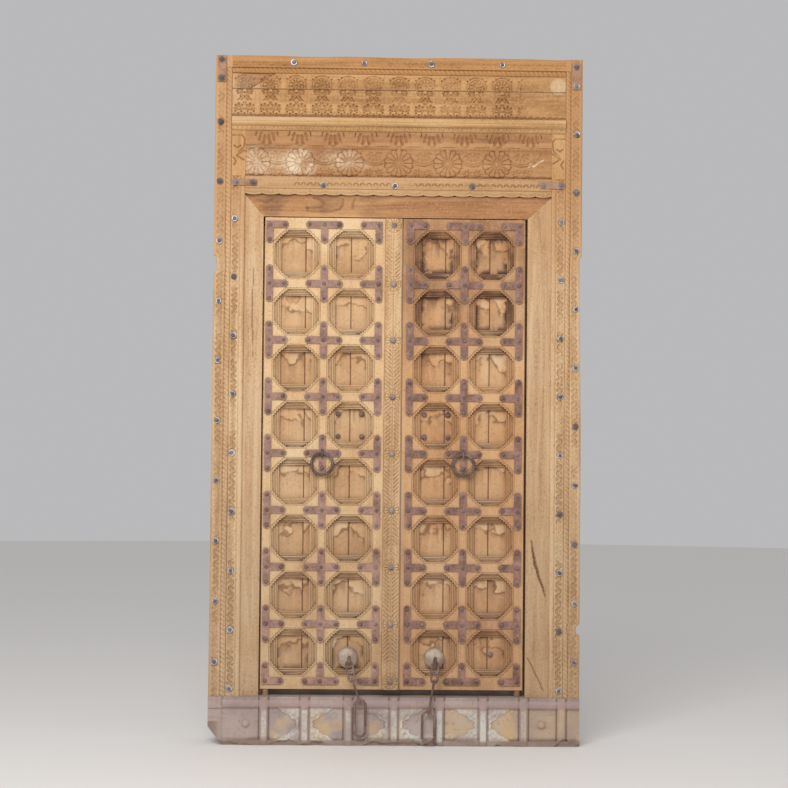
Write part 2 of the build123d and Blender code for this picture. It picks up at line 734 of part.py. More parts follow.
def chain(name, boss_x, offsets, floor_gap, loop_radius):
    """Wooden boss, eye staple, twisted link, rod with an eye at each end, and the long hasp loop."""
    top, mid, low = [(boss_x + x, boss_z + z) for x, z in offsets]
    round_land = Cylinder(boss_radius, boss_land, align=(Align.CENTER, Align.CENTER, Align.MIN))
    dome = Pos(0, 0, boss_land) * Sphere(boss_radius, arc_size1=0, align=(Align.CENTER, Align.CENTER, Align.MIN))
    boss = Pos(boss_x, plank_y, boss_z) * Rot(X=90) * (round_land + dome)
    boss_front = plank_y - boss_land - boss_radius

    down, lean, length = heading(top, mid)
    grip = staple_wire + link_wire + chain_fit
    staple_x = top[0] + grip * down[0]
    staple_z = top[1] + grip * down[1] + staple_eye_radius
    ring = eye(staple_x, staple_z, staple_eye_radius, staple_wire, 0)
    shank = round_bar((boss_x, plank_y, boss_z), (staple_x, chain_y + staple_eye_radius, staple_z), staple_wire)
    staple = ring + shank
    boss = boss - staple
    staple = staple - block(boss_x - boss_radius, boss_x + boss_radius, boss_front + boss_land, plank_y + overrun,
                            boss_z - boss_radius, boss_z + boss_radius)

    eye_length = length / 2 + link_cross
    halves = []
    for run, wire in ((eye_length / 2, link_wire), (length - eye_length / 2, link_foot_wire)):
        halves.append(wire_loop(top[0] + run * down[0], top[1] + run * down[1], link_eye_radius,
                                eye_length - 2 * link_eye_radius, lean, wire))
    link = halves[0] + halves[1]

    hook = rod_wire + link_foot_wire + chain_fit
    catch = rod_wire + loop_wire + chain_fit
    start = (mid[0] - hook * down[0], mid[1] - hook * down[1])
    end = (low[0], low[1] - catch)
    way, slant, length = heading(start, end)
    stops = [rod_eye_radius, 2 * rod_eye_radius, length - 2 * rod_eye_radius, length - rod_eye_radius]
    places = [(start[0] + run * way[0], start[1] + run * way[1]) for run in stops]
    rod = joined(eye(*places[0], rod_eye_radius, rod_wire, slant),
                 round_bar((places[1][0], chain_y, places[1][1]), (places[2][0], chain_y, places[2][1]), rod_wire),
                 eye(*places[3], rod_eye_radius, rod_wire, slant))

    loop_length = low[1] - loop_wire - floor_gap
    loop = wire_loop(low[0], low[1] - loop_length / 2, loop_radius, loop_length - 2 * loop_radius, 0, loop_wire)
    save(f"{name}_chain_boss", boss)
    save(f"{name}_chain_staple", staple)
    save(f"{name}_chain_link", link)
    save(f"{name}_chain_rod", rod)
    save(f"{name}_chain_loop", loop)


def ring_pull(name, x):
    """Round ring hanging in a U staple that stands out of the cross strap."""
    face = leaf_y - strap_thickness
    arm = ring_wire + ring_fit + ring_staple_wire
    z = row_zs[ring_row_index]
    bend_y = face - ring_staple_stand
    with BuildLine(Plane.YZ) as path:
        Line((face, z + arm), (bend_y, z + arm))
        RadiusArc((bend_y, z + arm), (bend_y, z - arm), -arm)
        Line((bend_y, z - arm), (face, z - arm))
    section = Plane((0, face, z + arm), z_dir=(0, -1, 0)) * Circle(ring_staple_wire)
    save(f"{name}_ring_staple", Pos(x, 0, 0) * sweep(section, path=path.wire()))
    hang_z = z - ring_drop
    save(f"{name}_ring", Pos(x, bend_y, hang_z - ring_radius) * Rot(X=90) * Torus(ring_radius, ring_wire))


def window_nails(columns, bay, row):
    x = (columns[bay] + columns[bay + 1]) / 2
    z = (row_zs[row] + row_zs[row + 1]) / 2
    offset_x = window_nail_share_x * (columns[bay + 1] - x - stile_half)
    offset_z = window_nail_share_z * (row_zs[row + 1] - z - rail_half)
    return [pyramid(x + a * offset_x, plank_y, z + b * offset_z,
                    frame_nail_radius, frame_nail_height, frame_nail_sides) for a in (-1, 1) for b in (-1, 1)]


def leaf(name, side, columns, plank_shares, x0, x1, lattice_x0, lattice_x1, nail_bay):
    outer = outer_stile(side, columns[0] if side < 0 else columns[-1])
    meeting = stile(columns[-1], high_x=lattice_x1) if side < 0 else stile(columns[0], low_x=lattice_x0)
    save(f"{name}_leaf_stiles", outer, stile(columns[1]), meeting)
    short_rails = [rail(left + stile_half, right - stile_half, row)
                   for left, right in zip(columns, columns[1:]) for row in range(row_count + 1)]
    save(f"{name}_leaf_rails", *short_rails)
    groups, heads = straps(columns)
    for kind, irons in groups.items():
        save(f"{name}_leaf_{kind}_straps", *irons)
    save(f"{name}_leaf_strap_nails", *heads)
    big_nails = window_nails(columns, nail_bay, ring_row_index)
    if side > 0:
        lone_x = (columns[1] + columns[2]) / 2 + lone_nail_offset_x
        lone_z = (row_zs[0] + row_zs[1]) / 2 - lone_nail_drop
        big_nails.append(pyramid(lone_x, plank_y, lone_z, frame_nail_radius, frame_nail_height, frame_nail_sides))
    save(f"{name}_leaf_window_nails", *big_nails)
    save(f"{name}_leaf_planks", *planks(plank_shares, x0, x1))
    save(f"{name}_leaf_ledges", *ledges(x0, x1))
    ring_pull(name, columns[1])


save("threshold", threshold())
save("left_post", post(-1))
save("right_post", post(1))
save("head_beam", head_beam())
save("header_boards",
     block(-inner_in_x, inner_in_x, post_front_y, post_front_y + header_board_thickness, rosette_z, frieze_z),
     block(-inner_in_x, inner_in_x, post_front_y, post_front_y + header_board_thickness, frieze_z, frame_top_z))
save("left_outer_architrave", outer_architrave(-1))
save("right_outer_architrave", outer_architrave(1))
save("top_rail", top_rail())
for board_name, board_side in (("left", -1), ("right", 1)):
    edges = sorted((board_side * inner_in_x, board_side * outer_in_x))
    save(f"{board_name}_inner_architrave", block(*edges, inner_strip_y, post_front_y, sill_height, rosette_z))
    save(f"{board_name}_frieze_block", frieze_block(board_side))
save("lower_header_rail", lower_rail())
frieze_boards = upper_frieze()
save("upper_frieze_top_board", frieze_boards[0])
save("upper_frieze_bottom_board", frieze_boards[1])
save("shelf_moulding", shelf())
save("lower_frieze_panel", lower_frieze())
patch_plates, patch_nails = patches()
save("corner_patches", *patch_plates)
nail_places = frame_nail_places() + patch_nails
save("frame_nails", *[pyramid(*place, frame_nail_radius, frame_nail_height, frame_nail_sides)
                      for place in nail_places])

leaf("left", -1, left_columns, left_plank_shares, left_leaf_x, astragal_x, left_leaf_x, left_meeting_x, 1)
leaf("right", 1, right_columns, right_plank_shares, right_meeting_x, right_leaf_x, right_meeting_x, right_leaf_x, 0)
astragal_y = leaf_y - astragal_proud
save("astragal", column([(left_meeting_x, plank_y), (left_meeting_x, astragal_y + astragal_ease / 2),
                         (left_meeting_x + astragal_ease, astragal_y), (astragal_x - astragal_ease, astragal_y),
                         (astragal_x, astragal_y + astragal_ease / 2), (astragal_x, plank_y)],
                        leaf_bottom_z, leaf_top_z))
save("astragal_nails", *[pyramid((left_meeting_x + astragal_x) / 2, astragal_y, z, astragal_nail_radius,
                                 frame_nail_height, frame_nail_sides) for z in row_zs])
chain("left", sum(left_columns[1:]) / 2, (left_top_offset, left_mid_offset, left_low_offset),
      left_loop_floor_gap, left_loop_radius)
chain("right", sum(right_columns[:-1]) / 2, (right_top_offset, right_mid_offset, right_low_offset),
      right_loop_floor_gap, right_loop_radius)
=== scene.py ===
"""Looks of a carved wooden double door in its frame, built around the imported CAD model.

Sizes are in millimetres, turned into metres where a mesh is made. The front of the door faces -Y.
"""
import math

import bpy
import numpy as np
from mathutils import Matrix, Vector


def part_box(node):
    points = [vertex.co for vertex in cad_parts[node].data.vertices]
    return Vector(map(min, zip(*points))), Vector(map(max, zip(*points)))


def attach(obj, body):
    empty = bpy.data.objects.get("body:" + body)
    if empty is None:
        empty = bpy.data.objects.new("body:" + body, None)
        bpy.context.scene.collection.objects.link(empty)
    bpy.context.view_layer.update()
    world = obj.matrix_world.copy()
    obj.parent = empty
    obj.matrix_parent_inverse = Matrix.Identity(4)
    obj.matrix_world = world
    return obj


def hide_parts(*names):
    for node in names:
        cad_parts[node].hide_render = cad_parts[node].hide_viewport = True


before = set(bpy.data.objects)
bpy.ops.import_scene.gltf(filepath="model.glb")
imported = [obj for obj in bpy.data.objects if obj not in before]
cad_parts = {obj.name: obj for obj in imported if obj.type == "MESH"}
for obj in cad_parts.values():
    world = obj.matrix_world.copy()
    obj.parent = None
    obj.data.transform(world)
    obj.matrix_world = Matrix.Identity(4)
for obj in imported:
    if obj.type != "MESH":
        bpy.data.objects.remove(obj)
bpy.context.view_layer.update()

# Threshold: one beam of painted wood under the door, with a roll along its top, eight upright bars and
# cusped half arches carved in the panels between them. Its lower left corner is worn away.
mm = 0.001
sill_step = 2.6
sill_bar_half, sill_bar_crown_half = 15.0, 8.0
sill_bar_shares = np.array([-0.6995, -0.4805, -0.2458, 0, 0.2458, 0.4805, 0.6995, 0.9034])
sill_fillet, sill_roll = 17.0, 36.0
sill_panel_depth, sill_fillet_depth = 9.0, 3.0
sill_knob_share, sill_knob_radius = 0.7966, 11.0
sill_end_share = 0.925
sill_wear_width, sill_wear_height = 48.0, 58.0
sill_top, stop_front = 152.0, 15.0
sill_buds = ((30, 36, 8, 3.0), (14, 41, 6, 2.5), (44, 26, 7, 2.5), (40, 6, 8, 2.5), (-28, 42, 6, 2.0))


def span(node):
    """Low and high corner of a node's box, in millimetres."""
    low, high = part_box(node)
    return np.array(low) / mm, np.array(high) / mm


def lines(low, high, step):
    """Evenly spaced grid lines from low to high, about one step apart."""
    return np.linspace(low, high, max(2, int(round((high - low) / step)) + 1))


def mottle(x, z, size, seed):
    """Smooth noise from 0 to 1: random values on cells of that size, blended with a smooth step."""
    cells = 64
    table = np.random.default_rng(seed).random((cells, cells))
    column, row = np.floor(x / size), np.floor(z / size)
    across, up = x / size - column, z / size - row
    across, up = across * across * (3 - 2 * across), up * up * (3 - 2 * up)
    column, row = column.astype(int) % cells, row.astype(int) % cells
    right, above = (column + 1) % cells, (row + 1) % cells
    below = table[row, column] * (1 - across) + table[row, right] * across
    return below * (1 - up) + (table[above, column] * (1 - across) + table[above, right] * across) * up


def clouds(x, z, size, seed):
    """Three layers of smooth noise, each half as large and half as strong as the one before, from 0 to 1."""
    return (4 * mottle(x, z, size, seed) + 2 * mottle(x, z, size / 2, seed + 1)
            + mottle(x, z, size / 4, seed + 2)) / 7


def ease(value, low, high):
    """Smooth step: 0 below low, 1 above high."""
    t = np.clip((value - low) / (high - low), 0, 1)
    return t * t * (3 - 2 * t)


def ridge(distance, half):
    """Round section: 1 on the line, 0 at half a width from it."""
    return np.sqrt(np.clip(1 - (distance / half) ** 2, 0, 1))


def smoothed(field, reach):
    """Running mean over a window of grid lines in both directions, with the edges repeated."""
    for axis in (0, 1):
        pads = [(reach + 1, reach) if a == axis else (0, 0) for a in (0, 1)]
        sums = np.cumsum(np.pad(field, pads, mode="edge"), axis)
        count = field.shape[axis]
        width = 2 * reach + 1
        field = (np.take(sums, range(width, width + count), axis) - np.take(sums, range(count), axis)) / width
    return field


def hollows(height, reach, depth):
    """How far each point lies below its surroundings: 0 on open faces, 1 at that depth. It sets the painted
    shade, with dirt, in recesses.
    """
    return np.clip((smoothed(height, reach) - height) / depth, 0, 1)


def board_shell(x, z, height, front, back):
    """Closed board: a front skin at y = front - height over the grid, a wall round its rim and a flat back.

    The last result leads each point to its place on the grid, or to -1 on the back, which has no marks.
    """
    rows, columns = x.shape
    index = np.arange(rows * columns).reshape(rows, columns)
    rim = np.concatenate([index[0, :-1], index[:-1, -1], index[-1, :0:-1], index[:0:-1, 0]])
    skin = np.stack([x, front - height, z], -1).reshape(-1, 3)
    behind = skin[rim].copy()
    behind[:, 1] = back
    base = len(skin) + np.arange(len(rim))
    quads = np.stack([index[:-1, :-1], index[:-1, 1:], index[1:, 1:], index[1:, :-1]], -1).reshape(-1, 4)
    walls = np.stack([np.roll(rim, -1), rim, base, np.roll(base, -1)], -1)
    right = base[columns - 1:columns + rows - 1]
    left = np.concatenate([base[:1], base[:-rows:-1]])
    inner = np.stack([right[1:-2], left[1:-2], left[2:-1], right[2:-1]], -1)
    foot = np.concatenate([base[:columns][::-1], left[1:2], right[1:2]])
    head = np.concatenate([[right[-2], left[-2]], base[columns + rows - 2:2 * columns + rows - 2][::-1]])
    grid_places = np.concatenate([np.arange(len(skin)), np.full(len(rim), -1)])
    return np.vstack([skin, behind]), np.vstack([quads, walls, inner]), [foot, head], grid_places


def make_piece(name, shells, material, marks=None, crease=38):
    """One mesh from closed shells of points, quads and larger faces; marks hold a value per point."""
    points, loops, totals, start = [], [], [], 0
    for shell in shells:
        points.append(shell[0])
        loops.append((shell[1] + start).ravel())
        totals.append(np.full(len(shell[1]), 4))
        for face in shell[2]:
            loops.append(np.asarray(face) + start)
            totals.append([len(face)])
        start += len(shell[0])
    points, loops, totals = np.vstack(points) * mm, np.concatenate(loops), np.concatenate(totals)
    mesh = bpy.data.meshes.new(name)
    mesh.vertices.add(len(points))
    mesh.vertices.foreach_set("co", points.ravel().astype(np.float32))
    mesh.loops.add(len(loops))
    mesh.loops.foreach_set("vertex_index", loops.astype(np.int32))
    mesh.polygons.add(len(totals))
    mesh.polygons.foreach_set("loop_start", (np.cumsum(totals) - totals).astype(np.int32))
    mesh.update(calc_edges=True)
    mesh.shade_smooth()
    mesh.set_sharp_from_angle(angle=math.radians(crease))
    for mark, values in (marks or {}).items():
        layer = mesh.attributes.new(mark, "FLOAT", "POINT")
        layer.data.foreach_set("value", values.astype(np.float32))
    mesh.materials.append(material)
    piece = bpy.data.objects.new(name, mesh)
    bpy.context.scene.collection.objects.link(piece)
    return piece


def carve(name, x, z, height, front, back, material, marks, crease=38):
    """A single board with marks such as painted shade and dirt in hollows, wash or stain given over its front
    grid.
    """
    shell = board_shell(x, z, height, front, back)
    spread = {mark: np.append(field, 0.0)[shell[3]] for mark, field in marks.items()}
    return make_piece(name, [shell], material, spread, crease)


def block_shell(low, high):
    """A plain box between two corners."""
    corners = np.array([[(low, high)[(i >> b) & 1][b] for b in range(3)] for i in range(8)], float)
    sides = np.array([[0, 1, 5, 4], [2, 6, 7, 3], [0, 4, 6, 2], [1, 3, 7, 5], [0, 2, 3, 1], [4, 5, 7, 6]])
    return corners, sides, []


def fit(piece, body, slot, *nodes):
    """The piece stands for these nodes of the frame, which it hides, and moves with their body. The slot is
    not used.
    """
    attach(piece, body)
    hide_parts(*nodes)


def tint(red, green, blue):
    """A finish's colour as a screen shows it, from 0 to 255, made linear for the shader."""
    share = np.array([red, green, blue]) / 255
    return (*np.where(share <= 0.04045, share / 12.92, ((share + 0.055) / 1.055) ** 2.4), 1.0)


class Value:
    """A shader socket. Sums, differences and products add Math nodes, and node() adds any other node."""

    def __init__(self, tree, socket):
        self.tree, self.socket = tree, socket

    def node(self, kind, settings=None, sockets=None, out=0):
        """Adds a node: settings first, a ramp's stops among them, then a value or a link for each socket."""
        made = self.tree.nodes.new("ShaderNode" + kind)
        for key, setting in (settings or {}).items():
            if key == "stops":
                while len(made.color_ramp.elements) < len(setting):
                    made.color_ramp.elements.new(0.5)
                for element, (place, colour) in zip(made.color_ramp.elements, setting):
                    element.position, element.color = place, colour
            else:
                setattr(made, key, setting)
        for key, given in (sockets or {}).items():
            if isinstance(given, Value):
                self.tree.links.new(given.socket, made.inputs[key])
            else:
                made.inputs[key].default_value = given
        return Value(self.tree, made.outputs[out])

    def math(self, operation, first, second):
        """One Math node of two values or sockets."""
        return self.node("Math", {"operation": operation}, {0: first, 1: second})

    def __add__(self, other):
        return self.math("ADD", self, other)

    def __sub__(self, other):
        return self.math("SUBTRACT", self, other)

    def __rsub__(self, other):
        return self.math("SUBTRACT", other, self)

    def __mul__(self, other):
        return self.math("MULTIPLY", self, other)

    __radd__, __rmul__ = __add__, __mul__

    def between(self, low, high):
        """Smooth step of the value: 0 below low, 1 above high."""
        return self.node("MapRange", {"interpolation_type": "SMOOTHSTEP"},
                         {0: self, 1: low, 2: high, 3: 0.0, 4: 1.0})

    def over(self, under, colour):
        """The colour laid over another where the value is 1."""
        return self.node("Mix", {"data_type": "RGBA"}, {0: self, 6: under, 7: colour}, 2)

    def noise(self, scale, detail=4.0, stretch=(1, 1, 1), distortion=0.0):
        """Noise over object coordinates, drawn out along an axis by a small stretch."""
        place = self.node("Mapping", {}, {"Vector": self, "Scale": stretch})
        return self.node("TexNoise", {}, {"Vector": place, "Scale": scale, "Detail": detail,
                                          "Distortion": distortion})

    def mark(self, name):
        """The value that a mesh carries under that name, 0 where it has none."""
        return self.node("Attribute", {"attribute_name": name}, {}, "Fac")

    def finish(self, colour, roughness, bump, depth, strength=1.0):
        """Links colour, roughness and a bump of that depth in metres to the material's shader."""
        shader = self.tree.nodes["Principled BSDF"]
        normal = self.node("Bump", {}, {"Height": bump, "Distance": depth, "Strength": strength}, "Normal")
        for socket, given in (("Base Color", colour), ("Roughness", roughness), ("Normal", normal)):
            self.tree.links.new(given.socket, shader.inputs[socket])


def surface(name):
    """A new material and the object coordinates that its pattern starts from."""
    material = bpy.data.materials.new(name)
    material.use_nodes = True
    tree = material.node_tree
    place = tree.nodes.new("ShaderNodeTexCoord")
    return material, Value(tree, place.outputs["Object"])


def sill_finish():
    """Flaking paint on wood: pink-grey ground, then pink, white, ochre and blue where their marks are."""
    material, place = surface("sill_paint")
    cloud, speck, fibre = place.noise(9), place.noise(90, 5), place.noise(40, 4, (0.12, 1, 1))
    wear = (cloud * 0.6 + speck * 0.4).between(0.42, 0.6)
    colour = cloud.between(0.35, 0.65).over(tint(160, 143, 138), tint(186, 171, 162))
    colour = (place.mark("pink") * (wear * 0.5 + 0.5)).over(colour, tint(174, 144, 136))
    colour = (place.mark("ochre") * (wear * 0.55 + 0.35)).over(colour, tint(204, 172, 126))
    colour = (place.mark("white") * (wear * 0.7 + 0.2)).over(colour, tint(220, 212, 198))
    colour = (place.mark("blue") * (wear * 0.4 + 0.2)).over(colour, tint(190, 200, 194))
    colour = (speck.between(0.56, 0.7) * 0.4).over(colour, tint(150, 118, 104))
    colour = (fibre.between(0.58, 0.75) * 0.4).over(colour, tint(128, 104, 98))
    colour = (place.mark("bare") * 0.8).over(colour, tint(136, 114, 100))
    # Painted shade with dirt: darker where the carving is hollow.
    colour = (place.mark("hollow") * 0.75).over(colour, tint(96, 72, 66))
    place.finish(colour, speck * 0.2 + 0.7, fibre * 0.5 + speck * 0.6, 0.0012)
    return material


def sill_relief(x, z):
    """Height of the beam's face over the panels: bars and roll as round sections, arches as raised plates."""
    half_width = span("threshold")[1][0]
    bars = sill_bar_shares * half_width
    roll_low = sill_top - sill_roll
    to_bar = np.min(np.abs(x[..., None] - bars), -1)
    height = np.where(z < sill_fillet, sill_panel_depth - sill_fillet_depth, 0.0)
    marks = {name: np.zeros_like(x) for name in ("pink", "white", "ochre", "blue", "bare")}
    panels = list(zip(bars[:-2], bars[1:-1]))
    for number, (left, right) in enumerate(panels):
        way = -1 if number % 2 else 1
        middle_x, middle_z = (left + right) / 2, (sill_fillet + roll_low) / 2
        run = way * (x - middle_x) / ((right - left) / 2 - sill_bar_half)
        rise = np.abs(z - middle_z) / ((roll_low - sill_fillet) / 2)
        edge = 0.72 - 1.25 * rise ** 1.5 + 0.16 * np.abs(np.sin(2.6 * math.pi * rise))
        inside = (np.abs(run) < 1) & (rise < 1)
        spandrel = ease(run - edge, -0.015, 0.025) * inside
        height = height + 2.6 * spandrel - 2.0 * ridge(run - edge + 0.05, 0.05) * inside
        height = height - 1.3 * ridge(run - edge - 0.17, 0.04) * inside
        buds = sum(ridge(np.hypot(x - middle_x - way * out, np.abs(z - middle_z) - up), radius) * lift
                   for out, up, radius, lift in sill_buds)
        height = height + buds * inside
        arch_line = 0.8 * ridge(run - edge - 0.08, 0.08) * inside
        marks["white"] += spandrel * (0.42 + 0.35 * clouds(x, z, 34, 76 + number)) + arch_line
        marks["white"] += (0.5 * ease(clouds(x, z, 50, 84), 0.5, 0.7)
                           * ease(sill_fillet + 26 - z, 0, 14) * inside)
        marks["ochre"] += (0.9 * ease(clouds(x, z, 60, 70 + number), 0.52, 0.66)
                           + 0.6 * (number > 3) * (1 - spandrel)) * inside
        marks["blue"] += 0.7 * spandrel * (clouds(x, z, 30, 80 + number) > 0.6)
    knob_z = (sill_fillet + roll_low) / 2
    knob = ridge(np.hypot(np.abs(x) - sill_knob_share * half_width, z - knob_z), sill_knob_radius)
    height = height + 6.5 * knob
    marks["ochre"] += 0.85 * (x > bars[-2]) * (z > sill_fillet) * (z < roll_low)
    roll = ridge(z - (roll_low + sill_top) / 2 + 3, sill_roll / 2 - 4)
    at_end = x < -sill_end_share * half_width
    roll = np.where(at_end, 0.8, roll)
    height = np.where(z > roll_low, (sill_panel_depth - 1) * np.maximum(roll, 0.15), height)
    height = height - 3 * ridge(x + sill_end_share * half_width, 3) + 3 * at_end * (z < roll_low)
    marks["pink"] += (0.55 + 0.4 * ease(clouds(x, z, 70, 14), 0.35, 0.6)) * (z > roll_low) * (roll > 0)
    marks["pink"] += 0.45 * (x < bars[0]) * (z < roll_low)
    bar = np.clip((sill_bar_half - to_bar) / (sill_bar_half - sill_bar_crown_half), 0, 1)
    groove = ridge(to_bar - sill_bar_half - 1, 2.5) * (z > sill_fillet)
    height = np.maximum(height, sill_panel_depth * bar ** 0.7) - 2 * groove
    crown = bar * (to_bar < sill_bar_crown_half) * (z < roll_low - 4) * (z > sill_fillet - 6)
    marks["white"] = np.maximum(marks["white"] * (bar < 0.1), 0.95 * crown * (x < bars[-2] + 20))
    marks["pink"] = np.maximum(marks["pink"] * (bar < 0.2), 0.8 * (bar > 0.1) * (crown < 0.5))
    blue_bars = crown * (np.abs(x - bars[4]) < 20) + 0.5 * crown * (np.abs(x - bars[5]) < 20)
    marks["blue"] = np.maximum(marks["blue"] * (bar < 0.1), blue_bars)
    chip = ease(clouds(x, z, 60, 5) - (z - 2) / 60, 0.44, 0.56) * (z < 30)
    height = height - 7 * chip * clouds(x, z, 22, 6) * 1.5
    darkening = ease(clouds(x, z * 2, 60, 12), 0.42, 0.62) * ease(sill_fillet + 16 - z, 0, 14)
    foot_wear = (z < sill_fillet) * (0.3 + 0.6 * clouds(x, z, 80, 9))
    marks["bare"] = np.clip(chip + foot_wear + 0.8 * darkening + ease(-x, 545, 575) * (z < 75), 0, 1)
    return height + 1.2 * clouds(x, z, 40, 3) - 1.2, {k: np.clip(v, 0, 1) for k, v in marks.items()}


sill_low, sill_high = span("threshold")
x, z = np.meshgrid(lines(sill_low[0], sill_high[0], sill_step), lines(0, sill_top, sill_step))
worn_z = np.clip(sill_wear_height * (1 - (x - sill_low[0]) / sill_wear_width), 0, None)
worn_z = worn_z * (1 + 0.12 * (clouds(x, z, 14, 8) - 0.5))
z = worn_z + z * (1 - worn_z / sill_top)
height, sill_marks = sill_relief(x, z)
sill_marks["hollow"] = hollows(height, 3, 5.0)
sill_shell = board_shell(x, z, height, sill_low[1] + sill_panel_depth, sill_high[1])
left_post, right_post = span("left_post"), span("right_post")
stop_low = np.array([left_post[1][0], stop_front, sill_top])
stop_high = np.array([right_post[0][0], right_post[1][1], sill_high[2]])
sill_stop = block_shell(stop_low, stop_high)
spread = {mark: np.concatenate([np.append(field, 0.0)[sill_shell[3]], np.zeros(8)])
          for mark, field in sill_marks.items()}
sill = make_piece("threshold_beam", [sill_shell, sill_stop], sill_finish(), spread)
fit(sill, "frame", "sill_paint", "threshold")


# Posts and head: heavy plain timbers behind the carved boards. Their splayed faces meet in mitres at the
# top corners. The right jamb has split as it dried, and the head shows an old knot.
jamb_step, jamb_stations = 3.0, 420
splay_outer, splay_inner, column_front = -56.0, -38.0, -46.0
rebate, stop_height = 16.0, 18.0
jamb_tones = {"left": ((178, 134, 92), (210, 172, 130), (228, 196, 154)),
              "right": ((160, 118, 78), (194, 156, 114), (214, 180, 138))}
head_foot, rail_foot = span("head_beam")[0][2] + stop_height, span("lower_header_rail")[0][2]
wide_split = [(436, 654, 0.8), (450, 570, 3.4), (468, 515, 2.2), (482, 474, 0.8)]
thin_split = [(425, 280, 0.9), (479, 172, 0.9)]
left_split = [(-462, 1230, 0.4), (-466, 1390, 0.8), (-461, 1520, 0.4)]
knot_paths = ([(-272, 1744), (-248, 1738), (-238, 1726), (-244, 1716), (-262, 1713), (-292, 1713)],
              [(-292, 1713), (-294, 1703), (-270, 1701), (-216, 1702), (-190, 1708), (-180, 1722),
               (-176, 1740)],
              [(-140, 1740), (-146, 1728), (-146, 1712)], [(-452, 1736), (-424, 1728), (-404, 1738)])


def to_path(x, z, path):
    """Distance from each point to a line through the given places, the nearest of its straight stretches."""
    nearest = np.full(x.shape, 1e9)
    for (x0, z0), (x1, z1) in zip(path, path[1:]):
        length = (x1 - x0) ** 2 + (z1 - z0) ** 2
        share = np.clip(((x - x0) * (x1 - x0) + (z - z0) * (z1 - z0)) / length, 0, 1)
        nearest = np.minimum(nearest, np.hypot(x - x0 - share * (x1 - x0), z - z0 - share * (z1 - z0)))
    return nearest


def split_depth(x, z, split):
    """Crack through (x, z, half width) places: a groove four half widths deep, 9 mm at most, ends closed."""
    split = np.array(sorted(split, key=lambda place: place[1]))
    middle, half = np.interp(z, split[:, 1], split[:, 0]), np.interp(z, split[:, 1], split[:, 2])
    inside = (z > split[0, 1]) & (z < split[-1, 1])
    wander = 3 * (mottle(x * 0, z, 18, 31) - 0.5)
    return inside * ridge(x - middle - wander, half + 0.9) * np.minimum(4 * half, 9)


def sweep_shell(section, starts, ends, stations, order):
    """Closed bar: each corner of a section runs straight from its start to its end; order places the axes."""
    section, share = np.asarray(section, float), np.linspace(0, 1, stations)[:, None]
    run = starts + share * (ends - starts)
    count = len(section)
    spread = np.broadcast_to(section, (stations, count, 2))
    points = np.concatenate([spread, run[..., None]], -1)[..., order]
    index = np.arange(stations * count).reshape(stations, count)
    after = np.roll(index, -1, 1)
    quads = np.stack([index[:-1], after[:-1], after[1:], index[1:]], -1).reshape(-1, 4)
    return points, quads, [index[0][::-1], index[-1]]


def wood(name, along, dark, middle, pale, grey=0.25, grain=1.0, warm=0.0):
    """Weathered wood: fibres and bands drawn out along the grain, in tones from dark to pale.

    Over them lie a grey bloom, specks, painted shade that darkens the wood towards the ground and a warmer
    tone high up, then wash, rust and stains, and painted shade with dirt in the hollows, where their marks
    are.
    """
    material, place = surface(name)
    stretch = tuple(0.045 if axis == along else 1.0 for axis in range(3))
    bands = place.noise(26, 3, stretch, 1.4)
    fibre = place.noise(260, 3, stretch)
    patch, speck = place.noise(4.5, 4), place.noise(150, 4)
    tone = (bands * (0.5 * grain) + fibre * (0.28 * grain) + patch * (0.32 + 0.55 * (1 - grain))
            + speck * (0.23 * (1 - grain)))
    stops = [(0.36, tint(*dark)), (0.53, tint(*middle)), (0.68, tint(*pale))]
    colour = place.node("ValToRGB", {"stops": stops}, {0: tone})
    colour = (patch.between(0.5, 0.72) * grey).over(colour, tint(176, 156, 134))
    colour = (speck.between(0.56, 0.7) * 0.38).over(colour, tint(128, 88, 54))
    colour = (speck.between(0.46, 0.32) * 0.5).over(colour, tint(*pale))
    height = place.node("SeparateXYZ", {}, {0: place}, "Z")
    # Painted shade: darker and greyer from 1.3 m down to the ground, where less light falls.
    colour = (height.between(1.3, 0.25) * 0.3).over(colour, tint(140, 116, 98))
    colour = (height.between(1.25, 1.9) * warm).over(colour, tint(184, 132, 82))
    washed = place.mark("wash") * (speck * 0.6 + patch * 0.5).between(0.36, 0.62)
    colour = washed.over(colour, tint(228, 204, 172))
    colour = (place.mark("rust") * 0.75).over(colour, tint(126, 88, 72))
    stained = place.mark("stain") * (patch * 0.5 + speck * 0.5 + 0.3).between(0.45, 0.75)
    colour = stained.over(colour, tint(84, 54, 42))
    # Painted shade with dirt: darker brown in hollows, grooves and cracks.
    colour = (place.mark("hollow") * 0.66).over(colour, tint(112, 70, 38))
    place.finish(colour, fibre * 0.25 + 0.62, fibre * 0.55 + bands * 0.6 + speck * 0.3, 0.0011)
    return material


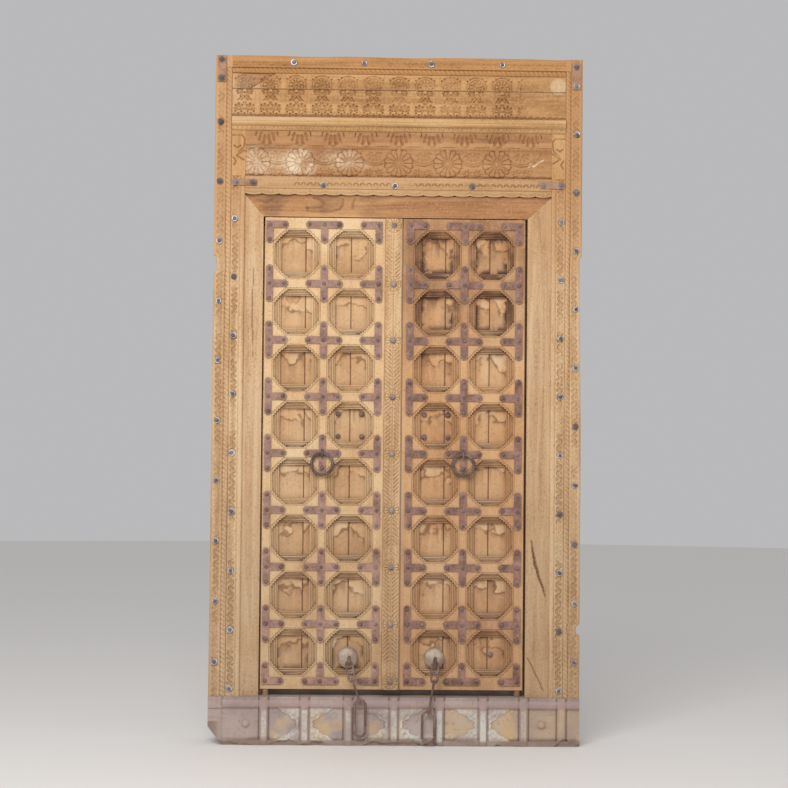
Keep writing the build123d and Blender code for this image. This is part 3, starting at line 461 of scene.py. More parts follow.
def jamb(side):
    """Post with its splayed face: a square column to the top, and a jamb whose top follows the mitre."""
    low, high = span(f"{side}_post")
    sign = -1 if side == "left" else 1
    inner = sign * (span("right_inner_architrave")[0][0])
    stop = high[0] if side == "left" else low[0]
    opening = stop + sign * rebate
    outer = low[0] if side == "left" else high[0]
    face = lines(*sorted((inner, opening)), jamb_step)[::-sign]
    face_y = np.interp(np.abs(face), sorted((abs(opening), abs(inner))), (splay_inner, splay_outer))
    section = list(zip(face, face_y))
    section += [(opening, stop_front), (stop, stop_front), (stop, high[1]), (inner, high[1])]
    section = np.array(section if side == "left" else section[::-1])
    reach = np.clip((section[:, 0] - inner) / (opening - inner), 0, 1.3)
    tops = rail_foot + reach * (head_foot - rail_foot)
    points, quads, caps = sweep_shell(section, np.full(len(section), low[2]), tops, jamb_stations, [0, 1, 2])
    x, y, z = np.moveaxis(points, -1, 0)
    on_face = (y < splay_inner + 0.5) & (np.abs(x) > abs(opening) + 1)
    splits = [wide_split, thin_split] if side == "right" else [left_split]
    groove = sum(split_depth(x, z, split) for split in splits) * on_face
    wave = 1.6 * clouds(x, z * 0.12, 30, 40) * on_face
    points[..., 1] += groove + wave
    hollow = np.clip(groove / 2, 0, 1)
    column = block_shell((min(inner, outer), column_front, low[2]), (max(inner, outer), high[1], high[2]))
    shells = [(points.reshape(-1, 3), quads, caps), column]
    marks = {"hollow": np.concatenate([hollow.ravel(), np.zeros(8)])}
    material = wood(f"{side}_jamb_wood", 2, *jamb_tones[side], grey=0.18, warm=0.25)
    piece = make_piece(f"{side}_jamb_post", shells, material, marks)
    fit(piece, "frame", "jamb_wood", f"{side}_post")


def head_stain_and_shadow(x, z):
    """Brown stain clouds round the knot, stronger towards the beam's left end, and a painted shadow of the
    rail along the top of the beam.
    """
    clouded = 0.4 * ease(clouds(x * 0.5, z, 40, 43), 0.4, 0.75) * ease(-x, -150, 250)
    # Painted shadow: the top 26 mm of the beam is darkened under the lower header rail.
    return clouded + 0.15 * ease(z, rail_foot - 26, rail_foot)


def head():
    """Beam over the leaves: a section run from mitre to mitre, with the knot's grooves in its splay."""
    low, high = span("head_beam")
    left = span("left_post")[1][0] - rebate
    right = span("right_post")[0][0] + rebate
    face_z = lines(head_foot, rail_foot, jamb_step)
    face_y = np.interp(face_z, (head_foot, rail_foot), (splay_inner, splay_outer))
    section = list(zip(face_y, face_z))[::-1]
    section += [(stop_front, head_foot), (stop_front, low[2]), (high[1], low[2]), (high[1], rail_foot),
                (high[1], high[2]), (column_front, high[2]), (column_front, rail_foot)]
    section = np.array(section)
    reach = np.clip((rail_foot - section[:, 1]) / (rail_foot - head_foot), 0, 1.3)
    starts, ends = low[0] + reach * (left - low[0]), high[0] + reach * (right - high[0])
    points, quads, caps = sweep_shell(section, starts, ends, 360, [2, 0, 1])
    # Each end is two flat faces: the mitre below the rail's foot, and a square end above it.
    turned = ((-1, caps[0][::-1]), (1, caps[1]))
    caps = [part[::way] for way, cap in turned for part in (np.r_[cap[:-3], cap[-1:]], cap[-4:])]
    x, y, z = np.moveaxis(points, -1, 0)
    on_face = (y < splay_inner + 0.5) & (z > head_foot + 1) & (z < rail_foot - 1)
    groove = sum(ridge(to_path(x, z, path), 4.2) for path in knot_paths) * 2.6 * on_face
    wave = 1.6 * clouds(x * 0.12, z, 30, 41) * on_face
    points[..., 1] += groove + wave
    marks = {"hollow": np.clip(groove / 4, 0, 1).ravel(), "stain": head_stain_and_shadow(x, z).ravel()}
    material = wood("head_wood", 0, (138, 90, 56), (180, 128, 84), (206, 156, 106), 0.04)
    piece = make_piece("head_of_doorway", [(points.reshape(-1, 3), quads, caps)], material, marks)
    fit(piece, "frame", "jamb_wood", "head_beam")


jamb("left")
jamb("right")
head()
back_wood = wood("back_wood", 0, (112, 80, 52), (140, 104, 72), (164, 128, 92))
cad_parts["header_boards"].data.materials[0] = back_wood


# Outer architrave boards and top rail: long boards nailed round the posts, with a rope twist along the
# inner edge and a worn running scroll cut in the flat. Their outer edges are chipped and worn back.
board_step = 2.2
rope_width, rope_pitch, rope_lift = 18.0, 15.0, 6.0
trail_pitch, trail_depth = 20.0, 3.4
left_wane = (1525.0, 62.0, 9.0)
right_step = (1560.0, 640.0, 7.0)
right_knot = (370.0, 34.0, 11.0)
outer_warmth = {"left": 0.6, "right": 0.8}


def rope(across, along):
    """Twisted rope: a round section with slanting ridges as strands, deeper between one and the next."""
    offset = across / (rope_width / 2)
    strand = np.abs(np.sin(math.pi * (along / rope_pitch + 0.42 * offset))) ** 0.6
    return ridge(offset, 1.0) ** 0.8 * rope_lift * (0.35 + 0.65 * strand) - rope_lift


def leaf_trail(across, along, half, seed):
    """Running scroll: two cuts beside a stem that swings from side to side, and a leaf cut in each bend."""
    along = along + 6.0 * (mottle(across * 0, along, 47, seed + 1) - 0.5)
    bend = np.floor(along / trail_pitch)
    way, place = 1 - 2 * (bend % 2), (along / trail_pitch - bend - 0.5) * trail_pitch
    stem = np.abs(across - 0.42 * half * np.sin(math.pi * along / trail_pitch))
    leaf = ridge(np.hypot(0.85 * (across + 0.5 * half * way) + 0.35 * place * way, 0.8 * place), 5.4)
    inside = ease(half - np.abs(across), 0, 2.5)
    wear = 0.5 + 0.5 * ease(clouds(across, along, 46, seed), 0.32, 0.58)
    return -trail_depth * inside * wear * np.maximum(leaf, 0.9 * ridge(stem - 3.0, 2.3))


def bite(z, place, length, depth):
    """How far an edge is worn back: a shallow scoop of that length and depth, ragged like torn wood."""
    return depth * ridge(z - place, length / 2) ** 0.6 * (0.8 + 0.4 * mottle(z, z * 0, 9, 55))


def outer_board(side):
    """Board with the rope along its inner edge and the scroll beside it; its outer edge is worn back."""
    low, high = span(f"{side}_outer_architrave")
    sign = -1 if side == "left" else 1
    outer, inner = (low[0], high[0]) if side == "left" else (high[0], low[0])
    x, z = np.meshgrid(lines(low[0], high[0], board_step), lines(low[2], high[2], board_step))
    from_inner = np.abs(x - inner)
    roped = (from_inner < rope_width) & (z < span("top_rail")[0][2] + rope_width)
    height = np.where(roped, rope(from_inner - rope_width / 2, sign * z), 0.0)
    middle = (rope_width + high[0] - low[0]) / 2 - 2
    height = height + leaf_trail(from_inner - middle, z, 12, 21)
    height = height - 1.5 * ridge(from_inner - rope_width - 2, 1.6)
    height = height + 1.2 * clouds(x, z, 34, 22) - 1.2 - 2.5 * ease(np.abs(x), abs(outer) - 4, abs(outer))
    step_top, step_length, step_depth = right_step
    ledge = step_depth * ease(step_top - z, -8, 8) * ease(z, step_top - step_length, step_top)
    worn = bite(z, *left_wane) if side == "left" else np.maximum(bite(z, *right_knot), ledge)
    x = x - sign * worn * np.abs(x - inner) / abs(outer - inner)
    grime = ease(300 - z, 0, 200) * 0.5
    marks = {"hollow": hollows(height, 3, 3.8), "stain": 0.35 * grime * clouds(x, z, 40, 23)}
    tones = (166, 124, 82), (206, 168, 124), (228, 194, 150)
    material = wood(f"{side}_outer_wood", 2, *tones, grey=0.2, warm=outer_warmth[side])
    piece = carve(f"{side}_outer_board", x, z, height, low[1], high[1], material, marks)
    fit(piece, "frame", "frame_wood", f"{side}_outer_architrave")


def top_board():
    """Rail with the rope along its lower edge, a faint scroll above it and a top edge worn low in places."""
    low, high = span("top_rail")
    x, z = np.meshgrid(lines(low[0], high[0], board_step), lines(low[2], high[2], board_step))
    rise = z - low[2]
    height = np.where(rise < rope_width, rope(rise - rope_width / 2, x), 0.0)
    height = height + 0.7 * leaf_trail(rise - 32, x, 8, 24) + 1.6 * clouds(x * 0.3, z, 24, 25) - 1.6
    height = height - 3 * ease(rise, 50, 57) * clouds(x, z, 70, 26)
    z = z - 2.0 * ease(rise, 30, 57) * ease(clouds(x, x * 0, 150, 27), 0.45, 0.7)
    marks = {"hollow": hollows(height, 3, 3.0)}
    material = wood("top_rail_wood", 0, (140, 92, 48), (178, 127, 74), (198, 147, 92), 0.02)
    piece = carve("top_board", x, z, height, low[1], high[1], material, marks)
    fit(piece, "frame", "frame_wood", "top_rail")


outer_board("left")
outer_board("right")
top_board()


# Inner architrave boards: narrower strips beside the rope, nailed to the posts, with the same scroll next to
# it and a plain bead towards the doorway.
bead_width = 15.0


def inner_board(side):
    """Strip with a round bead at the doorway, a groove beside it, then the scroll and a fine line."""
    low, high = span(f"{side}_inner_architrave")
    inner = high[0] if side == "left" else low[0]
    x, z = np.meshgrid(lines(low[0], high[0], board_step), lines(low[2], high[2], board_step))
    across = np.abs(x - inner)
    bead = ridge(across - bead_width / 2, bead_width / 2) * 3.0 - 3.0
    height = np.where(across < bead_width, bead, 0.0) - 2.2 * ridge(across - bead_width - 1, 1.8)
    height = height + 1.25 * leaf_trail(across - 30, z, 12, 28) + 1.0 * clouds(x, z, 34, 29) - 1.0
    height = height - 2.0 * ridge(across - 43, 2.0)
    marks = {"hollow": hollows(height, 3, 2.6), "stain": 0.2 * ease(280 - z, 0, 150) * clouds(x, z, 40, 30)}
    tones = (172, 128, 84), (210, 172, 128), (230, 198, 154)
    material = wood(f"{side}_inner_wood", 2, *tones, grey=0.2, warm=0.7)
    piece = carve(f"{side}_inner_board", x, z, height, low[1], high[1], material, marks)
    fit(piece, "frame", "frame_wood", f"{side}_inner_architrave")


inner_board("left")
inner_board("right")


# Lower header rail: a board nailed over the doorway, cut with a row of worn chevrons and a line below them.
# Its lower edge is scalloped into unequal lobes.
chevron_pitch, chevron_depth = 21.0, 2.6
lobe_count, lobe_depth = 19, 4.5


def header_rail():
    """Board whose chevrons are slanting cuts mirrored about each pitch and whose foot follows a bent sine."""
    low, high = span("lower_header_rail")
    x, z = np.meshgrid(lines(low[0], high[0], board_step), lines(low[2], high[2], board_step))
    rise = z - low[2]
    phase = np.abs((x / chevron_pitch) % 1 - 0.5) * chevron_pitch
    chevron = ridge(phase * 0.9 + (rise - 36) * 0.75 - 4.5, 2.6) * (np.abs(rise - 35) < 6.5) * (phase < 8.4)
    keep = ease(clouds(x, z * 0, 90, 32), 0.38, 0.5)
    height = -chevron_depth * chevron * keep - 1.8 * ridge(rise - 20, 1.4)
    height = height + 1.2 * clouds(x, z, 30, 33) - 1.2 - 2.0 * ease(rise, 54, 59)
    uneven = 9 * (mottle(x, x * 0, 120, 36) - 0.5)
    lobe = np.abs(np.sin(math.pi * lobe_count * (x + uneven - low[0]) / (high[0] - low[0])))
    height = height - 1.3 * ridge(rise - 6 - lobe_depth * (1 - lobe ** 0.6), 3.5) * clouds(x, z, 60, 37) * 1.6
    z = z + np.clip(1 - rise / 16, 0, 1) * lobe_depth * (1 - lobe ** 0.5)
    marks = {"hollow": hollows(height, 3, 2.4)}
    material = wood("header_rail_wood", 0, (154, 108, 66), (188, 146, 100), (206, 166, 120), 0.06)
    piece = carve("header_rail_board", x, z, height, low[1], high[1], material, marks)
    fit(piece, "frame", "frame_wood", "lower_header_rail")


header_rail()


# Upper frieze: two boards one above the other, cut with a row of palmettes under arches, a plain band
# between each two. The top board has lost its left corner, and the carving is rubbed flat at the right.
frieze_step, frieze_pitch, frieze_depth = 2.1, 82.8, 3.6
palmette_dots = ((0, 12, 2.8), (10, 17, 2.6), (20, 12, 2.8), (29, 18, 2.4), (0, 66, 3.0), (13, 66, 2.6),
                 (0, 80, 2.6), (22, 80, 2.6), (13, 98, 2.8), (24, 100, 2.6), (0, 104, 3.4), (30, 124, 2.6),
                 (20, 130, 2.6))
chip_line = ((-451.0, 2110.0), (-400.0, 2142.0))
lump_x, lump_z, lump_radius = 512.0, 2112.0, 27.0
frieze_foot, frieze_joint = (corner[2] for corner in span("upper_frieze_bottom_board"))


def fan(across, rise, slits, near, far, half):
    """Slits that run outwards from a point like the leaves of a palm, between two distances from it."""
    reach, turn = np.hypot(across, rise), np.arctan2(rise, across)
    slit = ridge(np.sin(slits / 2 * turn) * reach / (slits / 2), half)
    return slit * ease(reach, near - 1, near + 1) * ease(far - reach, -1, 1)


def palmette(x, z, foot):
    """Cuts of one motif, mirrored about its middle: palm leaves, crossed ribs, dots, an arched flower."""
    across = (x / frieze_pitch + 0.5) % 1 * frieze_pitch - frieze_pitch / 2
    side, rise = np.abs(across), z - foot
    cut = 1.5 * fan(side - 18, rise - 27, 8, 4.0, 18.0, 3.4) * (rise > 22)
    cut = np.maximum(cut, 0.9 * ridge(side - 1.5 - 0.012 * (rise - 36) ** 2, 2.2) * (np.abs(rise - 36) < 14))
    ribs = np.abs(side * 0.95 - np.abs(rise - 70))
    beside = 1.1 * ease(ribs, 2.2, 4.5) * ease(8 - ribs, 0, 3)
    cut = np.maximum(cut, beside * (np.abs(rise - 68) < 15) * (side < 26))
    cut = np.maximum(cut, 1.4 * fan(side - 16, rise - 84, 7, 4, 12, 2.6) * (rise < 90))
    cut = np.maximum(cut, 1.4 * fan(across, rise - 106, 9, 5, 19, 2.6) * (rise > 93))
    reach = np.hypot(across, rise - 104)
    cut = np.maximum(cut, (ridge(reach - 23, 2.2) + 0.8 * ridge(reach - 31, 1.8)) * (rise > 95))
    for place, up, radius in palmette_dots:
        cut = np.maximum(cut, 1.6 * ridge(np.hypot(side - place, rise - up), radius))
    return cut * ease(34 - side, 0, 2) + 0.25 * ridge(side - 34.5, 1.8)


def frieze_board(name, node, seed):
    """Board less the motif's cuts, which fade to the right, with a dark joint, a torn corner and a lump."""
    low, high = span(node)
    x, z = np.meshgrid(lines(low[0], high[0], frieze_step), lines(low[2], high[2], frieze_step))
    wear = (1 - 0.85 * ease(x, 355, 440)) * (0.62 + 0.38 * ease(clouds(x, z, 42, seed), 0.34, 0.56))
    height = -frieze_depth * wear * palmette(x, z, frieze_foot) - 1.5 + 1.5 * clouds(x, z, 34, seed + 3)
    scallop = 5 + 6 * np.abs(np.sin(math.pi * x * 4 / frieze_pitch))
    height = height - 3.5 * ease(scallop - (z - frieze_foot), -1, 2)
    (x0, z0), (x1, z1) = chip_line
    above = (z - z0) * (x1 - x0) - (x - x0) * (z1 - z0)
    chipped = ease(above, -40, 60) * ease(x, -534, -500) * (low[2] > frieze_foot)
    height = height - 5.5 * chipped - 1.2 * ridge(z - high[2], 2) - 1.2 * ridge(z - low[2], 2)
    lump = ridge(np.hypot(x - lump_x, z - lump_z), lump_radius) ** 0.5
    height = height + lump * (4.5 * clouds(x, z, 15, 66) - 1) * ease(lump_x + 24 - x, 0, 4)
    height = np.minimum(height, 3.0)
    white = np.clip(0.6 * lump + 0.35 * ease(-x, 420, 500) * clouds(x, z, 40, 67), 0, 1)
    darkening = 0.45 * ease(frieze_foot + 12 - z, 0, 8) + 0.8 * ridge(z - frieze_joint, 2.2)
    marks = {"hollow": hollows(height, 4, 3.2), "wash": white, "rust": 0.35 * chipped, "stain": darkening}
    material = wood(f"{name}_wood", 0, (146, 98, 54), (186, 138, 86), (206, 160, 106), 0.04)
    fit(carve(name, x, z, height, low[1], high[1], material, marks), "frame", "frieze_wood", node)


frieze_board("frieze_palmettes", "upper_frieze_bottom_board", 90)
frieze_board("frieze_arches", "upper_frieze_top_board", 94)


# Shelf moulding: a projecting strip of wood under the frieze, planed to a cove below and finished with a row
# of small slanting beads.
shelf_bead_pitch, shelf_cove_depth = 7.2, 9.0


def shelf_strip():
    """Strip whose face falls back in a smooth step to the cove, where round beads stand along the foot."""
    low, high = span("shelf_moulding")
    x, z = np.meshgrid(lines(low[0], high[0], 1.6), lines(low[2], high[2], 2.4))
    rise = z - low[2]
    height = -shelf_cove_depth * (1 - ease(rise, 10, 26)) - 1.6 * ridge(rise - 28, 2.0)
    place = ((x + 0.6 * rise) / shelf_bead_pitch % 1 - 0.5) * shelf_bead_pitch
    bead = ridge(place, shelf_bead_pitch / 2) * ridge(rise - 7, 6.0)
    height = height + 4.5 * bead - 2.0 + 1.6 * clouds(x * 0.3, z, 20, 98) - 1.6 - 2 * ease(rise, 38, 43)
    marks = {"hollow": hollows(height, 3, 3.0), "wash": 0.35 * ease(-x, 150, 420) * ease(rise, 20, 40)}
    material = wood("shelf_wood", 0, (158, 112, 64), (194, 150, 98), (214, 172, 120), 0.06)
    piece = carve("shelf_strip", x, z, height, low[1], high[1], material, marks)
    fit(piece, "frame", "frieze_wood", "shelf_moulding")


shelf_strip()


# Lower frieze: a panel of fourteen-petalled rosettes between vine arcs, under a band of hanging leaves and
# a row of fine beads. Old whitewash clings to its left third.
rosette_places = (-457.0, -316.0, -158.0, 0.0, 158.0, 316.0)
rosette_radius, petal_count, rosette_rise = 46.0, 14, 46.0
leaf_band_rise, leaf_pitch = 99.0, 106.0
leaf_slits = ((4, 8, 4.2, 0.2, 0.97), (16, 12, 4.0, 0.06, 0.74), (32, 10, 1.8, 0.0, 0.42))
wash_patches = ((-318.0, 46.0, 84.0, 66.0, 1.2), (-450.0, 56.0, 100.0, 80.0, 0.75),
                (-190.0, 62.0, 80.0, 50.0, 0.85), (-120.0, 40.0, 40.0, 22.0, 0.4))
scratch_path = ((418, 1852), (424, 1862), (434, 1852), (450, 1866), (466, 1874))


def rosette(x, rise, middle):
    """Grooves of a flower: lines between petals, a slit up each, a scalloped outline and an eye."""
    reach, turn = np.hypot(x - middle, rise - rosette_rise), np.arctan2(rise - rosette_rise, x - middle)
    share = turn / (2 * math.pi) * petal_count % 1
    between = np.minimum(share, 1 - share) * 2 * math.pi * reach / petal_count
    outline = rosette_radius * (0.86 + 0.14 * np.sin(math.pi * share) ** 0.7)
    cut = ridge(between, 1.5) * (reach > 8) * (reach < outline)
    cut = np.maximum(cut, ridge(reach - outline, 2.0))
    slit = ridge(np.abs(share - 0.5) * 2 * math.pi * reach / petal_count, 1.0)
    cut = np.maximum(cut, 0.7 * slit * (reach > 9) * (reach < 20))
    return np.maximum(cut, 0.9 * ridge(reach - 7.5, 1.4)), reach < outline


def hanging_leaves(x, rise):
    """Broad lobes and, between them, pointed drops in sprays of slits that lean outwards on their way down.

    The way down the band runs from 0 at its top to 1 at its foot.
    """
    across = np.abs((x / leaf_pitch + 0.5) % 1 - 0.5) * leaf_pitch
    down = 1 - np.clip((rise - leaf_band_rise) / 48, 0, 1)
    drop = ease(9 * (down - 0.25) - across, -1.5, 1.5)
    slits = sum(ridge(across - place - lean * down, half)
                * ease(down, first, first + 0.12) * ease(last - down, 0, 0.12)
                for place, lean, half, first, last in leaf_slits)
    lobe = ridge(across - 53, 26) * ease(down, 0.0, 0.5)
    return 2.6 * drop + 2.2 * lobe - 4.2 * np.clip(slits, 0, 1)


def rosette_panel():
    """Sunk ground with raised rosettes, vine arcs and half flowers between them, beads and the leaf band."""
    low, high = span("lower_frieze_panel")
    x, z = np.meshgrid(lines(low[0], high[0], frieze_step), lines(low[2], high[2], frieze_step))
    rise = z - low[2]
    height, petals = np.full_like(x, -6.5), np.zeros_like(x, bool)
    for middle in rosette_places:
        cut, inside = rosette(x, rise, middle)
        height = np.where(inside, -4.2, height) - 2.8 * cut
        petals |= inside
    for left, right in zip(rosette_places, rosette_places[1:] + (474.0,)):
        middle = (left + right) / 2
        vine = np.hypot(x - middle, rise - 104) - 62
        stem = ridge(vine, 2.4) * ~petals
        slits = fan(x - middle, rise - 78, 11, 6, 26, 2.8) * (rise < 80)
        near = (np.abs(x - middle) < 44) & ~petals
        height = height + 2.2 * stem - 2.6 * slits * near - 1.8 * ridge(np.abs(vine) - 4, 1.3) * near
        height = height - 2.8 * fan(np.abs(x - middle) - 16, rise - 14, 7, 4, 15, 2.2) * near
    bead = ridge((x / 7.4 % 1 - 0.5) * 7.4, 3.4) * ridge(rise - leaf_band_rise + 5, 3.0)
    height = np.where(rise > leaf_band_rise - 9, -5.0 + 3.0 * bead, height)
    height = np.where(rise > leaf_band_rise, -4.5 + hanging_leaves(x, rise), height)
    scallop = 4 + 5 * np.abs(np.sin(math.pi * x / 40))
    height = height - 3 * ease(scallop - rise, -1, 2) + 1.2 * clouds(x, z, 30, 101) - 1.2
    height = np.clip(height, -17, 0)
    patches = sum(power * ease(1 - np.hypot((x - place) / wide, (rise - up) / tall), 0, 0.7)
                  for place, up, wide, tall, power in wash_patches)
    flaked = 0.45 + 0.75 * ease(clouds(x, z, 34, 105), 0.36, 0.6)
    white = patches * (rise < leaf_band_rise) * (0.62 + 0.12 * petals) * flaked
    scratch = ridge(to_path(x, z, scratch_path), 2.6)
    marks = {"hollow": hollows(height, 4, 5.0), "wash": np.clip(white + scratch, 0, 1),
             "stain": 0.4 * ease(9 - rise, 0, 6)}
    material = wood("rosette_wood", 0, (136, 88, 50), (174, 124, 78), (194, 146, 98), 0.03)
    piece = carve("rosette_panel", x, z, height, low[1], high[1], material, marks)
    fit(piece, "frame", "frieze_wood", "lower_frieze_panel")


rosette_panel()


# Frieze end blocks: two short blocks of wood that close the lower frieze at its ends. Each is cut with the
# outline of a curled ear and a few strokes.
ear_paths = ([(0, 16), (32, 16), (40, 25), (42, 35), (38, 56), (24, 69), (40, 66)],
             [(8, 50), (18, 58), (28, 50)], [(41, 66), (16, 82), (39, 96)], [(6, 88), (14, 100), (8, 112)])


def end_block(side):
    """Block with round cuts along the ear's lines, measured from its outer edge, so the two are mirrored."""
    low, high = span(f"{side}_frieze_block")
    x, z = np.meshgrid(lines(low[0], high[0], 1.8), lines(low[2], high[2], 2.0))
    outward = x - low[0] if side == "left" else high[0] - x
    drop = high[2] - z
    height = -3.2 * np.max([ridge(to_path(outward, drop, path), 2.6) for path in ear_paths], 0)
    height = height - 1.2 * clouds(x, z, 30, 103) - 1.5 * (drop < 14)
    marks = {"hollow": hollows(height, 4, 2.4)}
    material = wood(f"{side}_block_wood", 2, (152, 106, 60), (190, 142, 90), (208, 162, 110), 0.04)
    piece = carve(f"{side}_end_block", x, z, height, low[1], high[1], material, marks)
    fit(piece, "frame", "frieze_wood", f"{side}_frieze_block")


end_block("left")
end_block("right")


# Iron on the frame: four corner patches and the forged nails that hold the boards. Most nail heads show
# a bright worn rim round a dark middle, a few are rusted all over.
rim_radius, rim_height, head_radius, head_height = 10.5, 3.0, 6.6, 8.6
nail_sides = 10


def iron(name, dark, middle, pale, metal=0.25):
    """Old forged iron: brown rust in patches over grey metal, with bright rims where it is rubbed."""
    material, place = surface(name)
    patch, speck = place.noise(24, 4), place.noise(190, 4)
    tone = patch * 0.6 + speck * 0.4
    stops = [(0.36, tint(*dark)), (0.5, tint(*middle)), (0.66, tint(*pale))]
    colour = place.node("ValToRGB", {"stops": stops}, {0: tone})
    rim = place.mark("rim") * (speck * 0.5 + patch * 0.5).between(0.3, 0.5)
    colour = rim.over(colour, tint(220, 220, 222))
    shader = material.node_tree.nodes["Principled BSDF"]
    material.node_tree.links.new((rim * 0.35 + metal).socket, shader.inputs["Metallic"])
    place.finish(colour, speck * 0.3 + 0.6 - rim * 0.25, patch * 0.5 + speck * 0.8, 0.0009)
    return material


def nail_places(node):
    """Foremost point of each nail head of a node and the depth of its foot, from the node's own points."""
    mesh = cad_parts[node].data
    points = np.empty(len(mesh.vertices) * 3)
    mesh.vertices.foreach_get("co", points)
    points = np.unique(np.round(points.reshape(-1, 3) / mm, 2), axis=0)
    gaps = np.hypot(points[:, None, 0] - points[None, :, 0], points[:, None, 2] - points[None, :, 2])
    near = gaps < 14
    front = np.where(near, points[None, :, 1], 1e9).min(1)
    foot = np.where(near, points[None, :, 1], -1e9).max(1)
    tips = points[:, 1] <= front + 0.01
    return points[tips], foot[tips]


def heads_shell(places, feet, profile, sides, seed):
    """Nail heads as rings of (radius, height) from foot to tip, each turned and tilted a little by chance."""
    draw = np.random.default_rng(seed)
    count, rings = len(places), len(profile)
    turn = np.linspace(0, 2 * math.pi, sides, endpoint=False)[None, None, :] + draw.random((count, 1, 1))
    size = 0.9 + 0.2 * draw.random((count, 1, 1)) + 0.06 * (draw.random((count, 1, sides)) - 0.5)
    radius, height = np.array(profile).T[:, None, :, None]
    x = places[:, None, None, 0] + radius * size * np.cos(turn)
    z = places[:, None, None, 2] + radius * size * np.sin(turn)
    tilt = (draw.random((2, count, 1, 1)) - 0.5) * 0.14
    off_x, off_z = x - places[:, None, None, 0], z - places[:, None, None, 2]
    lift = height + (tilt[0] * off_x + tilt[1] * off_z) * (height > 0.5)
    y = np.broadcast_to(feet[:, None, None], x.shape) - lift
    index = np.arange(count * rings * sides).reshape(count, rings, sides)
    after = np.roll(index, -1, 2)
    quads = np.stack([index[:, :-1], after[:, :-1], after[:, 1:], index[:, 1:]], -1).reshape(-1, 4)
    caps = list(index[:, 0, ::-1]) + list(index[:, -1])
    return np.stack([x, y, z], -1).reshape(-1, 3), quads, caps


def frame_nails():
    """Heads with a broad rim round a raised middle; the rim is bright in stretches, dull on the patches."""
    places, feet = nail_places("frame_nails")
    profile = [(rim_radius, 0), (rim_radius, 1.2), (rim_radius * 0.86, rim_height),
               (head_radius, rim_height * 0.9), (head_radius * 0.9, head_height * 0.7),
               (head_radius * 0.5, head_height)]
    shell = heads_shell(places, feet, profile, nail_sides, 120)
    rusty = np.random.default_rng(121).random(len(places)) < 0.22
    rim = np.zeros((len(places), len(profile), nail_sides))
    on_rail = (np.abs(places[:, 0]) > 450) & (np.abs(places[:, 2] - rail_foot - 29) < 14)
    on_top = (np.abs(places[:, 0]) > 540) & (places[:, 2] > span("top_rail")[0][2] - 20)
    bright = np.random.default_rng(122).random((len(places), 1, nail_sides))
    broken = 0.3 + 0.7 * ease((bright + np.roll(bright, 1, 2)) / 2, 0.3, 0.6)
    rim[:, 1:4] = np.where(rusty | on_rail | on_top, 0.15, 0.9)[:, None, None] * broken
    material = iron("nail_iron", (92, 74, 70), (124, 106, 104), (166, 154, 156), 0.3)
    piece = make_piece("frame_nail_heads", [shell], material, {"rim": rim.ravel()}, 45)
    fit(piece, "frame", "nail_iron", "frame_nails")


frame_nails()
patch_iron = iron("patch_iron", (136, 98, 76), (164, 124, 96), (184, 146, 116), 0.05)
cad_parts["corner_patches"].data.materials[0] = patch_iron


# Planks of the leaves: three wide boards behind each lattice, seen in its windows. Their old dark face has
# come off in most windows and hangs on at the top, with a torn edge. The right leaf is stained near the top.
leaf_columns = {"left": (-412.0, -236.53, -61.06), "right": (40.44, 215.97, 391.5)}
leaf_rows = np.append(199 + 181.7 * np.arange(8), 1660.9)
window_side, window_end = 37.25, 37.85
plank_joints = {"left": (-296.0, -149.0), "right": (156.0, 299.0)}
plank_step, plank_peel = 2.7, 1.5
plank_tones = {"left": ((176, 128, 82), (212, 167, 118), (230, 192, 146)),
               "right": ((174, 118, 72), (214, 163, 112), (232, 190, 142))}


def windows(places, margin):
    """Stretches between neighbouring stiles or rails, left free by that margin on both sides."""
    return [(a + margin, b - margin) for a, b in zip(places, places[1:])]


def drawn_lines(low, high, stretches, step):
    """Grid lines from low to high: fine in the given stretches, none between them."""
    inside = [lines(max(a, low), min(b, high), step) for a, b in stretches
              if min(b, high) - max(a, low) > step]
    return np.unique(np.round(np.concatenate([[low, high], *inside]), 3))


def nearest(value, stretches):
    """Place of a value within the nearest stretch: -1 at its low end, 1 at its high end."""
    middles = np.array([(a + b) / 2 for a, b in stretches])
    halves = np.array([(b - a) / 2 for a, b in stretches])
    which = np.argmin(np.abs(value[..., None] - middles), -1)
    return (value - middles[which]) / halves[which]


